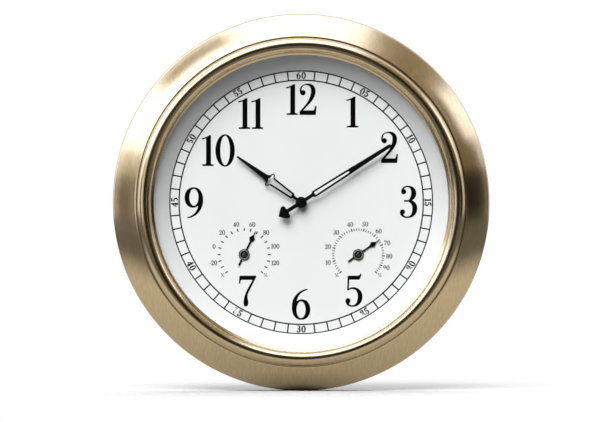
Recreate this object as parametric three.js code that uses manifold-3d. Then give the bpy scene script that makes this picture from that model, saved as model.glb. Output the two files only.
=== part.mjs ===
// A round radio-controlled wall clock with a thermometer and a hygrometer on its dial.
// Lengths are in millimetres. In the clock's own frame x is right and y is up as the dial is read,
// and z comes out of the wall plane towards the reader. The last group turns that into +Z up,
// the dial facing -Y, with the origin where the hanger bears on its nail.

import * as THREE from 'three';
import { mergeVertices } from 'three/addons/utils/BufferGeometryUtils.js';
import Module from 'manifold-3d';

const wasm = await Module();
wasm.setup();

// Clearances
const seat = 0.3; // between faces that touch
const runningGap = 0.2; // radial, round a shaft that turns
const ringGap = 0.4; // radial, between large rings that nest
const past = 1; // a cutting tool runs this far past the face that it cuts
const sink = 0.5; // a boss is sunk this deep into the wall that carries it

// Frame
const frameRadius = 177.8;
const frameWall = 1.2;
const lipWidth = 2.4;
const rollRadius = 6.6;
const beadRadius = 1.2;
const grooveWidth = 0.6;
const bandWidth = 16; // the sloping band, from the bead's groove to the rounded edge
const bandDrop = 15; // how far the band falls on the way
const bandCrown = 0.5; // how far it bulges in its middle
const edgeRadius = 4;
const backCornerRadius = 1.5;
const rearFlangeWidth = 10.5;
const roundSides = 48;
const pinSides = 10;

// Back cover
const coverThickness = 2;
const coverRimThickness = 4;
const coverInset = 1.3; // the cover's edge inside the frame's edge
const coverRimWidth = 11.5;
const locatingRibWall = 1.4;
const locatingRibHeight = 6;
const windowMargin = 3; // round the movement
const windowCorner = 4;

// Hanger
const hangerInset = 14.6; // of the nail inside the frame's opening
const hangerPlateWidth = 40;
const hangerPlateHeight = 26;
const hangerPlateThickness = 1;
const hangerPlateDepth = 2; // of its rear face below the cover's
const keyholeRadius = 5;
const keyholeSlotWidth = 5;
const keyholeDrop = 10; // from the nail to the centre of the wide hole
const hangerPadWall = 2;
const hangerPadFloor = 1.7;
const nailPocketDepth = 4;
const plateCorner = 2;

// Screws
const screwHeadRadius = 3;
const screwHeadHeight = 1.5;
const screwShankRadius = 1.4;
const screwSides = 8;
const coverScrewCount = 6;
const coverScrewLength = 6;
const counterboreDepth = 2;
const dialScrewCount = 4;
const dialScrewLength = 6;
const dialScrewHeadHeight = 1.4;
const bossRadius = 2.8;
const hangerScrewLength = 5;
const hangerScrewInset = 6; // from the plate's ends

// Movement case
const movementBack = 1.5; // of its rear face above the wall plane
const caseWall = 1.5;
const caseSideGap = 2.5; // between the motor's coil and the side
const caseBelow = 24; // the shaft to the lower edge
const caseAbove = 41; // the shaft to the upper edge
const caseCorner = 4;
const rearCaseDepth = 8.5;

// Cell and its bay
const cellRadius = 7.1;
const cellLength = 49.2;
const cellNubRadius = 2.75;
const cellNubLength = 1.2;
const bayGap = 0.5;
const bayWall = 0.9;
const contactThickness = 0.5;
const leafDepth = 3.2;

// Mounting through the dial
const bushingRadius = 4;
const bushingBore = 3;
const bushingShoulder = 5;
const bushingShoulderHeight = 0.7;
const rubberThickness = 1;
const rubberRadius = 11;
const dialWasherThickness = 0.5;
const dialWasherRadius = 5.3;
const nutAcrossCorners = 10.6;
const nutThickness = 2;

// Dial, glass and the ring between them
const dialThickness = 1;
const dialLap = 3.4; // of the dial past the frame's opening
const coneWidth = 14.1; // of the white cone, seen from the front
const chamberDepth = 11.9; // from the dial's face to the glass
const glassThickness = 2;
const glassLap = 3.8; // of the glass behind the frame
const glassRimWall = 1.4;
const gasketThickness = 0.8;
const gasketInset = 0.6; // from the opening's edge
const ringWall = 1.5;
const skirtMargin = 4.4; // between the dial's edge and the skirt
const skirtWall = 1.6;

// Hands
const hourHandLength = 74.5;
const hourHandAngle = THREE.MathUtils.degToRad(144.5);
const minuteHandLength = 100.4;
const minuteHandAngle = THREE.MathUtils.degToRad(32.5);
const handThickness = 0.6;
const handHubRadius = 5.3;
const handHubDepth = 0.2; // of the hub behind the hand
const handBorder = 1.7;
const hourHandAboveDial = 4;
const handSpacing = 2.4;
const hourPipeRadius = 2.75;
const hourPipeBore = 1.8;
const pipeAboveHand = 0.4;
const minuteArborRadius = 1.5;
const arborAboveHand = 1.6;
const handNutRadius = 3.9;
const handNutHeight = 2.3;

// Gear train: teeth, modules and heights above the wall plane
const trainModule = 0.5;
const cannonModule = 0.5;
const motionModule = 0.48;
const pinionTeeth = 6;
const minuteWheelTeeth = 36;
const thirdWheelTeeth = 30;
const secondWheelTeeth = 24;
const cannonTeeth = 12;
const motionWheelTeeth = 36;
const motionPinionTeeth = 10;
const hourWheelTeeth = 40;
const wheelThickness = 1;
const wheelStep = 1.6; // from one wheel of the train to the next
const pinionOverlap = 0.4; // a pinion stands this far past its wheel
const arborRadius = 0.6;
const pivotRadius = 0.9; // of the minute arbor behind its wheel
const bearingGap = 0.15;
const bearingDepth = 1; // in the front case's wall
const endPlay = 0.3;

// Motor
const rotorRadius = 2.9;
const rotorHeight = 3;
const statorHole = 3.5;
const statorThickness = 1;
const statorHalfHeight = 14;
const statorBar = 3;
const statorRim = 1.5; // of the laminations round the rotor's hole
const coreWidth = 2.4;
const coilLength = 20;
const coilRadius = 3.7;
const bobbinRadius = 2;
const bobbinFlangeRadius = 4.2;
const bobbinFlange = 0.7;
const coilDistance = 10; // from the rotor to the coil

// Plates, board and antenna
const trainPlateThickness = 1;
const trainPlateGap = 1; // between the board and the train plate
const boardThickness = 0.8;
const rodRadius = 4;
const rodLength = 40;
const antennaCoilRadius = 5.2;
const antennaCoilLength = 18;
const antennaSideGap = 0.8; // between the antenna's coil and the case's side
const antennaHeight = 3.2; // of the rod above the case's floor

// Buttons and switches, in a row across the back of the movement
const buttonRadius = 2.2;
const buttonFlangeRadius = 2.9;
const buttonFlange = 0.6;
const buttonProud = 0.6;
const buttonTravel = 0.5;
const controlsHeight = -15; // of their row, from the shaft
const buttonSpacing = 8.5;
const firstButton = -25;
const zoneSwitchPlace = 4;
const zoneSwitchTravel = 6;
const savingSwitchPlace = 20;
const savingSwitchTravel = 2;
const knobWidth = 3;
const knobHeight = 3.4;

// Gauges
const gaugeSpread = 53.8; // from the clock's centre line
const gaugeDrop = 49.3;
const cupRadius = 20;
const cupWall = 1.2;
const cupDepth = 12;
const cupBossRadius = 3;
const cupBossHeight = 2;
const cupSocketFloor = 1.4; // behind the arbor's end
const cupVentCount = 5;
const cupVentRadius = 2.2;
const cupVentCircle = 12;
const gaugeArborRadius = 0.8;
const gaugeHubRadius = 5.2;
const gaugeHubHeight = 1.4;
const gaugePointerThickness = 0.5;
const pointerAboveDial = 0.6;
const pointerReach = 24.9;
const pointerTail = 11.6;
const pointerHeadPlace = 16.8;
const pointerHeadHalfWidth = 2.6;
const pointerNeck = 1.3;
const thermometerAngle = THREE.MathUtils.degToRad(64);
const hygrometerAngle = THREE.MathUtils.degToRad(35);
const bimetalThickness = 0.4;
const bimetalWidth = 4;
const bimetalTurns = 3;
const bimetalSteps = 12; // a turn

// Positions of the train's axes. The dial's centre carries the minute and hour wheels.
const polar = (from, distance, degrees) => [
  from[0] + distance * Math.cos(THREE.MathUtils.degToRad(degrees)),
  from[1] + distance * Math.sin(THREE.MathUtils.degToRad(degrees)),
];
const centre = [0, 0];
const motionDirection = -20;
const thirdDirection = 200;
const secondDirection = 160;
const rotorDirection = 180;
const motionAxis = polar(centre, (cannonModule * (cannonTeeth + motionWheelTeeth)) / 2, motionDirection);
const thirdAxis = polar(centre, (trainModule * (minuteWheelTeeth + pinionTeeth)) / 2, thirdDirection);
const secondAxis = polar(thirdAxis, (trainModule * (thirdWheelTeeth + pinionTeeth)) / 2, secondDirection);
const rotorAxis = polar(secondAxis, (trainModule * (secondWheelTeeth + pinionTeeth)) / 2, rotorDirection);
const coilX = rotorAxis[0] - coilDistance;
const caseHalfWidth = bobbinFlangeRadius + caseSideGap + caseWall - coilX;

// Heights above the wall plane inside the movement. The case is as deep as its cell or its train needs.
const rearFloor = movementBack + caseWall; // inner face of the rear case
const boardBack = rearFloor + seat + buttonFlange + buttonTravel + runningGap;
const boardFront = boardBack + boardThickness;
const trainPlateBack = boardFront + trainPlateGap;
const secondWheelBack = trainPlateBack + trainPlateThickness + 2 * pinionOverlap - endPlay / 2;
const thirdWheelBack = secondWheelBack + wheelStep;
const minuteWheelBack = thirdWheelBack + wheelStep;
const motionWheelBack = minuteWheelBack + wheelThickness + 2 * pinionOverlap;
const hourWheelBack = motionWheelBack + wheelThickness + 2 * pinionOverlap + endPlay;
const trainTop = hourWheelBack + wheelThickness + pinionOverlap;
const magnetBack = secondWheelBack + wheelThickness + pinionOverlap + runningGap;
const cellDepth = movementBack + bayGap + cellRadius; // of the cell's axis
const cellFloor = cellDepth + cellRadius + bayGap;
const caseFloor = Math.max(cellFloor + bayWall, trainTop) + seat; // inner face of the front case
const upperPivotEnd = caseFloor + bearingDepth - endPlay;

// Heights above the wall plane in front of the movement
const movementFront = caseFloor + caseWall;
const dialBack = movementFront + seat + rubberThickness + seat;
const dialFront = dialBack + dialThickness;
const glassBack = dialFront + chamberDepth;
const glassFront = glassBack + glassThickness;
const gasketBack = glassFront + seat;
const lipBack = gasketBack + gasketThickness + seat;
const lipFront = lipBack + frameWall;
const rollBase = lipFront + grooveWidth / 2;
const flangeBack = coverRimThickness + seat;
const hourHandBack = dialFront + hourHandAboveDial;
const minuteHandBack = hourHandBack + handSpacing;

// Radii, from the outer edge inwards to the opening, and then of what lies behind it
const bandInner = frameRadius - edgeRadius - bandWidth;
const beadCentre = bandInner - grooveWidth - beadRadius;
const rollCentre = beadCentre - beadRadius - grooveWidth - rollRadius;
const openingRadius = rollCentre - rollRadius - lipWidth;
const visibleDialRadius = openingRadius - coneWidth;
const dialRadius = openingRadius + dialLap;
const glassRadius = openingRadius + glassLap;
const gasketInner = openingRadius + gasketInset;
const gasketOuter = openingRadius + lipWidth + frameWall - ringGap;
const skirtInnerRadius = dialRadius + skirtMargin;
const skirtOuterRadius = skirtInnerRadius + skirtWall;
const locatingRibRadius = skirtInnerRadius - ringGap;
const bossCircle = openingRadius - bossRadius + runningGap;
const coverRadius = frameRadius - coverInset;
const coverScrewCircle = coverRadius - coverRimWidth / 2;
const hangerHeight = openingRadius - hangerInset; // of the nail above the dial's centre

// Materials
const material = (color, roughness, metalness) =>
  new THREE.MeshStandardMaterial({ color, roughness, metalness });
const champagne = material(0xa8946e, 0.34, 1);
const glassMaterial = material(0xf4f8f8, 0.05, 0);
glassMaterial.transparent = true;
glassMaterial.opacity = 0.25;
const whitePlastic = material(0xe9e9e6, 0.45, 0);
const dialWhite = material(0xf1f1f0, 0.7, 0);
const blackMetal = material(0x141414, 0.4, 0.3);
const blackPlastic = material(0x1e1e20, 0.55, 0);
const greyPlastic = material(0x55575a, 0.55, 0);
const natural = material(0xe6e2d4, 0.5, 0);
const steel = material(0xb4b6b8, 0.32, 1);
const brass = material(0xb9944a, 0.35, 1);
const copper = material(0xa5552b, 0.4, 0.8);
const darkMetal = material(0x3c3b3a, 0.6, 0.4);
const rubber = material(0x222222, 0.85, 0);
const boardGreen = material(0x1d5a35, 0.5, 0);
const cellColour = material(0x2f6a4a, 0.35, 0.2);
const redPlastic = material(0xa52a22, 0.5, 0);

// A closed geometry with only positions, shared vertices merged and slivers dropped, facing out.
function closed(geometry) {
  const bare = new THREE.BufferGeometry();
  bare.setAttribute('position', geometry.getAttribute('position').clone());
  if (geometry.index) bare.setIndex(geometry.index.clone());
  const merged = mergeVertices(bare, 1e-4);
  const position = merged.getAttribute('position');
  const index = merged.index.array;
  const kept = [];
  let volume = 0;
  const corners = [new THREE.Vector3(), new THREE.Vector3(), new THREE.Vector3()];
  for (let i = 0; i < index.length; i += 3) {
    const [a, b, c] = [index[i], index[i + 1], index[i + 2]];
    if (a === b || b === c || c === a) continue;
    kept.push(a, b, c);
    [a, b, c].forEach((vertex, k) => corners[k].fromBufferAttribute(position, vertex));
    volume += corners[0].dot(corners[1].cross(corners[2]));
  }
  if (volume < 0) {
    for (let i = 0; i < kept.length; i += 3) {
      [kept[i], kept[i + 1]] = [kept[i + 1], kept[i]];
    }
  }
  merged.setIndex(kept);
  return merged;
}

function solid(geometry) {
  const whole = closed(geometry);
  const vertProperties = new Float32Array(whole.getAttribute('position').array);
  const triVerts = new Uint32Array(whole.index.array);
  return new wasm.Manifold(new wasm.Mesh({ numProp: 3, vertProperties, triVerts }));
}

function geometryOf(manifold) {
  const mesh = manifold.getMesh();
  const geometry = new THREE.BufferGeometry();
  geometry.setAttribute('position', new THREE.BufferAttribute(new Float32Array(mesh.vertProperties), 3));
  geometry.setIndex([...mesh.triVerts]);
  return geometry;
}

const join = (...geometries) => geometryOf(geometries.map(solid).reduce((all, next) => all.add(next)));

const cut = (body, ...tools) =>
  geometryOf(tools.map(solid).reduce((left, tool) => left.subtract(tool), solid(body)));

// A profile of [radius, height] points, or of Vector2, revolved round z.
function turned(profile, sides = roundSides) {
  const points = profile.map((point) => (point.isVector2 ? point : new THREE.Vector2(...point)));
  return new THREE.LatheGeometry(points, sides).rotateX(Math.PI / 2);
}

const ring = (inner, outer, low, high, sides) =>
  turned([[inner, low], [outer, low], [outer, high], [inner, high], [inner, low]], sides);

const disc = (radius, low, high, sides = 18) =>
  turned([[0, low], [radius, low], [radius, high], [0, high]], sides);

const at = (geometry, x, y) => geometry.translate(x, y, 0);

const block = (left, right, bottom, top, low, high) =>
  new THREE.BoxGeometry(right - left, top - bottom, high - low).translate(
    (left + right) / 2,
    (bottom + top) / 2,
    (low + high) / 2,
  );

function plate(shape, low, high, curveSegments = 6) {
  const settings = { depth: high - low, bevelEnabled: false, curveSegments };
  return new THREE.ExtrudeGeometry(shape, settings).translate(0, 0, low);
}

function roundedRectangle(left, right, bottom, top, radius) {
  const shape = new THREE.Shape();
  shape.moveTo(left + radius, bottom);
  shape.lineTo(right - radius, bottom);
  shape.absarc(right - radius, bottom + radius, radius, -Math.PI / 2, 0);
  shape.lineTo(right, top - radius);
  shape.absarc(right - radius, top - radius, radius, 0, Math.PI / 2);
  shape.lineTo(left + radius, top);
  shape.absarc(left + radius, top - radius, radius, Math.PI / 2, Math.PI);
  shape.lineTo(left, bottom + radius);
  shape.absarc(left + radius, bottom + radius, radius, Math.PI, 1.5 * Math.PI);
  return shape;
}

function arc(centreRadius, centreHeight, radius, from, to, steps) {
  const points = [];
  for (let i = 0; i <= steps; i += 1) {
    const angle = from + ((to - from) * i) / steps;
    points.push([centreRadius + radius * Math.cos(angle), centreHeight + radius * Math.sin(angle)]);
  }
  return points;
}

const clock = new THREE.Group();

function add(name, geometry, look, parent = clock) {
  const mesh = new THREE.Mesh(closed(geometry), look);
  mesh.name = name;
  parent.add(mesh);
  return mesh;
}

// Frame: pressed from one sheet. From the wall outwards: rear flange, side, sloping band, bead, roll and lip.
function frameGeometry() {
  const beadStep = 0.2; // of the bead's crest below the foot of the roll
  const beadBase = rollBase - beadRadius - beadStep;
  const bandTop = beadBase - grooveWidth / 2;
  const edgeCentre = frameRadius - edgeRadius;
  const edgeHeight = bandTop - bandDrop;
  const sideHeight = flangeBack + backCornerRadius;
  // A straight band would touch the rounded edge where the edge's radius stands at this angle.
  const reach = Math.hypot(bandWidth, bandDrop);
  const bandAngle = Math.atan2(bandDrop, -bandWidth) - Math.acos(edgeRadius / reach);
  const bandEnd = arc(edgeCentre, edgeHeight, edgeRadius, bandAngle, bandAngle, 1)[0];
  const bandMiddle = [
    (bandEnd[0] + bandInner) / 2 + bandCrown * Math.cos(bandAngle),
    (bandEnd[1] + bandTop) / 2 + bandCrown * Math.sin(bandAngle),
  ];
  const flangeInner = frameRadius - rearFlangeWidth;
  const insideRoll = rollRadius - frameWall;
  const outside = [
    [flangeInner, flangeBack],
    ...arc(frameRadius - backCornerRadius, sideHeight, backCornerRadius, -Math.PI / 2, 0, 2),
    ...arc(edgeCentre, edgeHeight, edgeRadius, 0, bandAngle, 3),
    bandMiddle,
    [bandInner, bandTop],
    ...arc(beadCentre, beadBase, beadRadius, 0, Math.PI, 3),
    [rollCentre + rollRadius, beadBase],
    ...arc(rollCentre, rollBase, rollRadius, 0, Math.PI, 8),
    [openingRadius, lipFront],
  ];
  const inside = [
    [openingRadius, lipBack],
    [rollCentre - insideRoll, lipBack],
    ...arc(rollCentre, rollBase, insideRoll, Math.PI, 0, 4),
    [rollCentre + insideRoll, beadBase - frameWall],
    [bandInner - frameWall * Math.cos(bandAngle), bandTop - frameWall * Math.sin(bandAngle)],
    ...arc(edgeCentre, edgeHeight, edgeRadius - frameWall, bandAngle, 0, 1),
    [frameRadius - frameWall, flangeBack + frameWall],
    [flangeInner, flangeBack + frameWall],
  ];
  const shell = turned([...outside, ...inside, outside[0]]);
  const hole = disc(screwShankRadius + seat, flangeBack - past, flangeBack + frameWall + past, screwSides);
  return cut(shell, ...coverScrewPlaces().map(([x, y]) => at(hole.clone(), x, y)));
}

function coverScrewPlaces() {
  return Array.from({ length: coverScrewCount }, (_, i) => {
    const angle = ((i + 0.5) * 2 * Math.PI) / coverScrewCount;
    return [coverScrewCircle * Math.cos(angle), coverScrewCircle * Math.sin(angle)];
  });
}

function dialScrewPlaces() {
  return Array.from({ length: dialScrewCount }, (_, i) => {
    const angle = ((i + 0.5) * 2 * Math.PI) / dialScrewCount;
    return [bossCircle * Math.cos(angle), bossCircle * Math.sin(angle)];
  });
}

// Dial ring: a cone from the dial to the glass, a rim round the glass and a skirt back to the cover.
function dialRingGeometry() {
  const front = glassBack - seat;
  const foot = dialFront + seat;
  const rimTop = front + glassThickness;
  const rimInner = glassRadius + ringGap;
  const flangeRear = front - ringWall;
  const bow = 1.1; // of the cone's face behind the straight line
  const bossTop = foot + chamberDepth / 2;
  const cove = new THREE.QuadraticBezierCurve(
    new THREE.Vector2(visibleDialRadius, foot),
    new THREE.Vector2((visibleDialRadius + openingRadius + bow) / 2, (foot + front - bow) / 2),
    new THREE.Vector2(openingRadius, front),
  );
  const body = turned([
    ...cove.getPoints(3).map((point) => [point.x, point.y]),
    [rimInner, front],
    [rimInner, rimTop],
    [rimInner + glassRimWall, rimTop],
    [rimInner + glassRimWall, front],
    [skirtOuterRadius, front],
    [skirtOuterRadius, coverThickness + seat],
    [skirtInnerRadius, coverThickness + seat],
    [skirtInnerRadius, flangeRear],
    [openingRadius + 0.6 * ringWall, flangeRear],
    [visibleDialRadius + 1.4 * ringWall, foot],
    [visibleDialRadius, foot],
  ]);
  const holeTop = foot + dialScrewLength - dialThickness;
  const bosses = dialScrewPlaces().map(([x, y]) => at(disc(bossRadius, foot, bossTop, screwSides), x, y));
  const holes = dialScrewPlaces().map(([x, y]) =>
    at(disc(screwShankRadius + runningGap, foot - past, holeTop, screwSides), x, y),
  );
  return cut(join(body, ...bosses), ...holes);
}

function dialGeometry() {
  const through = [dialBack - past, dialFront + past];
  const arborHole = disc(gaugeArborRadius + 2 * seat, ...through, pinSides);
  return cut(
    disc(dialRadius, dialBack, dialFront, roundSides),
    disc(bushingRadius + seat, ...through),
    ...[-1, 1].map((side) => at(arborHole.clone(), side * gaugeSpread, -gaugeDrop)),
    ...dialScrewPlaces().map(([x, y]) => at(disc(screwShankRadius + seat, ...through, screwSides), x, y)),
  );
}

// A pan-head screw with a slot. Its head is at low z and its shank points to high z.
function screwGeometry(headBack, headHeight, length) {
  const headFront = headBack + headHeight;
  const middle = headBack + headHeight / 2;
  const crownRadius = 2.4;
  const recessReach = screwHeadRadius + past;
  const recessHalf = 0.4;
  const body = turned(
    [
      [0, headBack],
      [crownRadius, headBack],
      [screwHeadRadius, middle],
      [screwHeadRadius, headFront],
      [screwShankRadius, headFront],
      [screwShankRadius, headFront + length - screwShankRadius],
      [0, headFront + length],
    ],
    screwSides,
  );
  return cut(body, block(-recessReach, recessReach, -recessHalf, recessHalf, headBack - past, middle));
}

// Hanger: a steel plate with a keyhole, sunk in a pad of the back cover.
const keyholeCentre = hangerHeight - keyholeDrop;
const hangerPlateTop = hangerHeight + (hangerPlateHeight - keyholeDrop) / 2;
const hangerPlateBottom = hangerPlateTop - hangerPlateHeight;
const hangerScrewHeight = hangerHeight - keyholeDrop / 2;
const hangerScrewReach = hangerPlateWidth / 2 - hangerScrewInset;
const hangerScrewPlaces = [-1, 1].map((side) => [side * hangerScrewReach, hangerScrewHeight]);
const hangerPlateFront = hangerPlateDepth + hangerPlateThickness;
const nailPocketFloor = hangerPlateFront + seat + nailPocketDepth;
const hangerHeadHeight = hangerPlateDepth - 2 * seat;

function hangerPlateGeometry() {
  const half = hangerPlateWidth / 2;
  const outline = roundedRectangle(-half, half, hangerPlateBottom, hangerPlateTop, plateCorner);
  const slotTop = hangerHeight - keyholeSlotWidth / 2;
  const through = [hangerPlateDepth - past, hangerPlateFront + past];
  return cut(
    plate(outline, hangerPlateDepth, hangerPlateFront, 2),
    at(disc(keyholeRadius, ...through, 20), 0, keyholeCentre),
    block(-keyholeSlotWidth / 2, keyholeSlotWidth / 2, keyholeCentre, slotTop, ...through),
    at(disc(keyholeSlotWidth / 2, ...through, 16), 0, slotTop),
    ...hangerScrewPlaces.map(([x, y]) => at(disc(screwShankRadius + seat, ...through, screwSides), x, y)),
  );
}

// Back cover: a disc with a thick rim, a locating rib, a window, vents and the hanger's pad.
function coverGeometry() {
  const rimInner = coverRadius - coverRimWidth;
  const ribInner = locatingRibRadius - locatingRibWall;
  const ribTop = coverThickness + locatingRibHeight;
  const body = turned([
    [0, 0],
    [coverRadius, 0],
    [coverRadius, coverRimThickness],
    [rimInner, coverRimThickness],
    [rimInner, coverThickness],
    [locatingRibRadius, coverThickness],
    [locatingRibRadius, ribTop],
    [ribInner, ribTop],
    [ribInner, coverThickness],
    [0, coverThickness],
  ]);
  const padHalf = hangerPlateWidth / 2 + hangerPadWall + seat;
  const padBottom = hangerPlateBottom - hangerPadWall - seat;
  const padTop = hangerPlateTop + hangerPadWall + seat;
  const padFront = nailPocketFloor + hangerPadFloor;
  const pad = block(-padHalf, padHalf, padBottom, padTop, coverThickness - sink, padFront);
  const window = roundedRectangle(
    -caseHalfWidth - windowMargin,
    caseHalfWidth + windowMargin,
    -caseBelow - windowMargin,
    caseAbove + windowMargin,
    windowCorner,
  );
  const platePocket = roundedRectangle(
    -hangerPlateWidth / 2 - seat,
    hangerPlateWidth / 2 + seat,
    hangerPlateBottom - seat,
    hangerPlateTop + seat,
    plateCorner,
  );
  const nailPocket = block(
    -keyholeRadius - seat,
    keyholeRadius + seat,
    keyholeCentre - keyholeRadius - seat,
    hangerHeight + keyholeRadius,
    hangerPlateFront,
    nailPocketFloor,
  );
  const screwHoles = coverScrewPlaces().flatMap(([x, y]) => [
    at(disc(screwHeadRadius + seat, -past, counterboreDepth), x, y),
    at(disc(screwShankRadius + seat, 0, coverRimThickness + past, screwSides), x, y),
  ]);
  const hangerHoleTop = hangerPlateFront + hangerScrewLength;
  const hangerHole = disc(screwShankRadius + runningGap, hangerPlateFront, hangerHoleTop, screwSides);
  const hangerHoles = hangerScrewPlaces.map(([x, y]) => at(hangerHole.clone(), x, y));
  return cut(
    join(body, pad),
    plate(window, -past, coverThickness + past, 3),
    plate(platePocket, -past, hangerPlateFront + seat, 2),
    nailPocket,
    ...screwHoles,
    ...hangerHoles,
    ...ventGeometries(),
  );
}

// Vents: five slots behind each gauge, shorter away from the middle one.
function ventGeometries() {
  const halfWidth = 1.2;
  const pitch = 6;
  const middleHalfLength = 14.4;
  const taper = 1.5;
  const drop = 8; // of the middle slot below the gauge's axis
  const rows = [-2, -1, 0, 1, 2];
  return [-1, 1].flatMap((side) =>
    rows.map((row) => {
      const halfLength = middleHalfLength - Math.abs(row) * taper;
      const x = side * gaugeSpread;
      const y = row * pitch - gaugeDrop - drop;
      const [left, right, bottom, top] = [x - halfLength, x + halfLength, y - halfWidth, y + halfWidth];
      return block(left, right, bottom, top, -past, coverThickness + past);
    }),
  );
}

// Gears
const wheelAddendum = 0.6;
const pinionAddendum = 0.9;
const wheelFromTeeth = 20; // from here on a tooth's flank is one straight line

// A gear's outline, its corners on involute flanks above the base circle.
// A tooth is centred on the direction toothAt, in degrees.
function gearOutline({ teeth, module, addendum, toothAt }) {
  const pressureAngle = THREE.MathUtils.degToRad(25);
  const dedendum = 1.15;
  const thinning = 0.07 * module; // each flank, so the mesh runs free
  const pitchRadius = (module * teeth) / 2;
  const baseRadius = pitchRadius * Math.cos(pressureAngle);
  const rootRadius = pitchRadius - dedendum * module;
  const tipRadius = pitchRadius + addendum * module;
  const involute = (radius) => {
    const angle = Math.acos(Math.min(1, baseRadius / radius));
    return Math.tan(angle) - angle;
  };
  const halfAtPitch = Math.PI / (2 * teeth) - thinning / pitchRadius;
  const halfAngle = (radius) => halfAtPitch + involute(pitchRadius) - involute(Math.max(radius, baseRadius));
  const radii = teeth > wheelFromTeeth ? [rootRadius, tipRadius] : [rootRadius, pitchRadius, tipRadius];
  const shape = new THREE.Shape();
  for (let i = 0; i < teeth; i += 1) {
    const middle = THREE.MathUtils.degToRad(toothAt) + (2 * Math.PI * i) / teeth;
    const rising = radii.map((radius) => [radius, middle - halfAngle(radius)]);
    const falling = radii.map((radius) => [radius, middle + halfAngle(radius)]).reverse();
    [...rising, ...falling].forEach(([radius, angle], k) => {
      const point = [radius * Math.cos(angle), radius * Math.sin(angle)];
      if (i === 0 && k === 0) shape.moveTo(...point);
      else shape.lineTo(...point);
    });
  }
  return shape;
}

const gear = (teeth, module, addendum, toothAt, low, high) =>
  plate(gearOutline({ teeth, module, addendum, toothAt }), low, high);

// The direction of a gear's tooth, so that it meets its neighbour with a tooth or with a gap.
const toothTowards = (direction) => direction;
const gapTowards = (direction, teeth) => direction + 180 / teeth;

function rotorGeometry() {
  return join(
    gear(
      pinionTeeth,
      trainModule,
      pinionAddendum,
      gapTowards(rotorDirection + 180, pinionTeeth),
      secondWheelBack - pinionOverlap,
      secondWheelBack + wheelThickness + pinionOverlap,
    ),
    disc(rotorRadius, magnetBack, magnetBack + rotorHeight),
    disc(arborRadius, trainPlateBack, upperPivotEnd, pinSides),
  );
}

function secondWheelGeometry() {
  return join(
    gear(
      secondWheelTeeth,
      trainModule,
      wheelAddendum,
      toothTowards(rotorDirection),
      secondWheelBack,
      secondWheelBack + wheelThickness,
    ),
    gear(
      pinionTeeth,
      trainModule,
      pinionAddendum,
      gapTowards(secondDirection + 180, pinionTeeth),
      secondWheelBack + wheelThickness / 2,
      thirdWheelBack + wheelThickness + pinionOverlap,
    ),
    disc(arborRadius, trainPlateBack, upperPivotEnd, pinSides),
  );
}

function thirdWheelGeometry() {
  return join(
    gear(
      thirdWheelTeeth,
      trainModule,
      wheelAddendum,
      toothTowards(secondDirection),
      thirdWheelBack,
      thirdWheelBack + wheelThickness,
    ),
    gear(
      pinionTeeth,
      trainModule,
      pinionAddendum,
      gapTowards(thirdDirection + 180, pinionTeeth),
      thirdWheelBack + wheelThickness / 2,
      minuteWheelBack + wheelThickness + pinionOverlap,
    ),
    disc(arborRadius, trainPlateBack, upperPivotEnd, pinSides),
  );
}

// Minute wheel: its arbor runs through the hour pipe and carries the minute hand.
function minuteWheelGeometry() {
  const cannonTop = motionWheelBack + wheelThickness + pinionOverlap;
  return join(
    gear(
      minuteWheelTeeth,
      trainModule,
      wheelAddendum,
      toothTowards(thirdDirection),
      minuteWheelBack,
      minuteWheelBack + wheelThickness,
    ),
    gear(
      cannonTeeth,
      cannonModule,
      pinionAddendum,
      gapTowards(motionDirection, cannonTeeth),
      minuteWheelBack + wheelThickness / 2,
      cannonTop,
    ),
    disc(pivotRadius, trainPlateBack, minuteWheelBack + sink, pinSides),
    disc(minuteArborRadius, minuteWheelBack, minuteHandBack + handThickness + arborAboveHand),
  );
}

function motionWheelGeometry() {
  return join(
    gear(
      motionWheelTeeth,
      cannonModule,
      wheelAddendum,
      toothTowards(motionDirection + 180),
      motionWheelBack,
      motionWheelBack + wheelThickness,
    ),
    gear(
      motionPinionTeeth,
      motionModule,
      pinionAddendum,
      gapTowards(motionDirection + 180, motionPinionTeeth),
      motionWheelBack + wheelThickness / 2,
      hourWheelBack + wheelThickness + pinionOverlap,
    ),
    disc(arborRadius, trainPlateBack, upperPivotEnd, pinSides),
  );
}

function hourWheelGeometry() {
  const pipeTop = hourHandBack + handThickness + pipeAboveHand;
  const hubRadius = bushingRadius + runningGap;
  const hubTop = caseFloor - seat;
  return cut(
    join(
      gear(
        hourWheelTeeth,
        motionModule,
        wheelAddendum,
        toothTowards(motionDirection),
        hourWheelBack,
        hourWheelBack + wheelThickness,
      ),
      disc(hubRadius, hourWheelBack + wheelThickness / 2, hubTop),
      disc(hourPipeRadius, hourWheelBack, pipeTop),
    ),
    disc(hourPipeBore, hourWheelBack - past, pipeTop + past),
  );
}

// Movement case, in a front and a rear half.
const caseOutline = (inset) =>
  roundedRectangle(
    -caseHalfWidth + inset,
    caseHalfWidth - inset,
    -caseBelow + inset,
    caseAbove - inset,
    caseCorner - inset,
  );
const caseSplit = movementBack + rearCaseDepth;

// The bay lies along the case's upper edge, the cell's plus end to the right.
const bayTop = caseAbove - caseWall - seat - bayWall;
const bayBottom = bayTop - 2 * (cellRadius + bayGap);
const cellHeight = (bayTop + bayBottom) / 2;
const cellLeft = -(cellLength + cellNubLength) / 2;
const bayLeft = cellLeft - seat - leafDepth - seat;
const bayRight = cellLeft + cellLength + cellNubLength + seat + contactThickness + seat;

// Posts between the cases, which hold the train plate and the stator
const platePosts = [
  [-18, 15],
  [14, 15],
  [22.5, 4],
];
const statorPosts = [1, -1].map((side) => [rotorAxis[0], side * (statorHalfHeight - statorBar / 2)]);
const postRadius = 1.8;
const statorPostRadius = 1.2;

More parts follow.
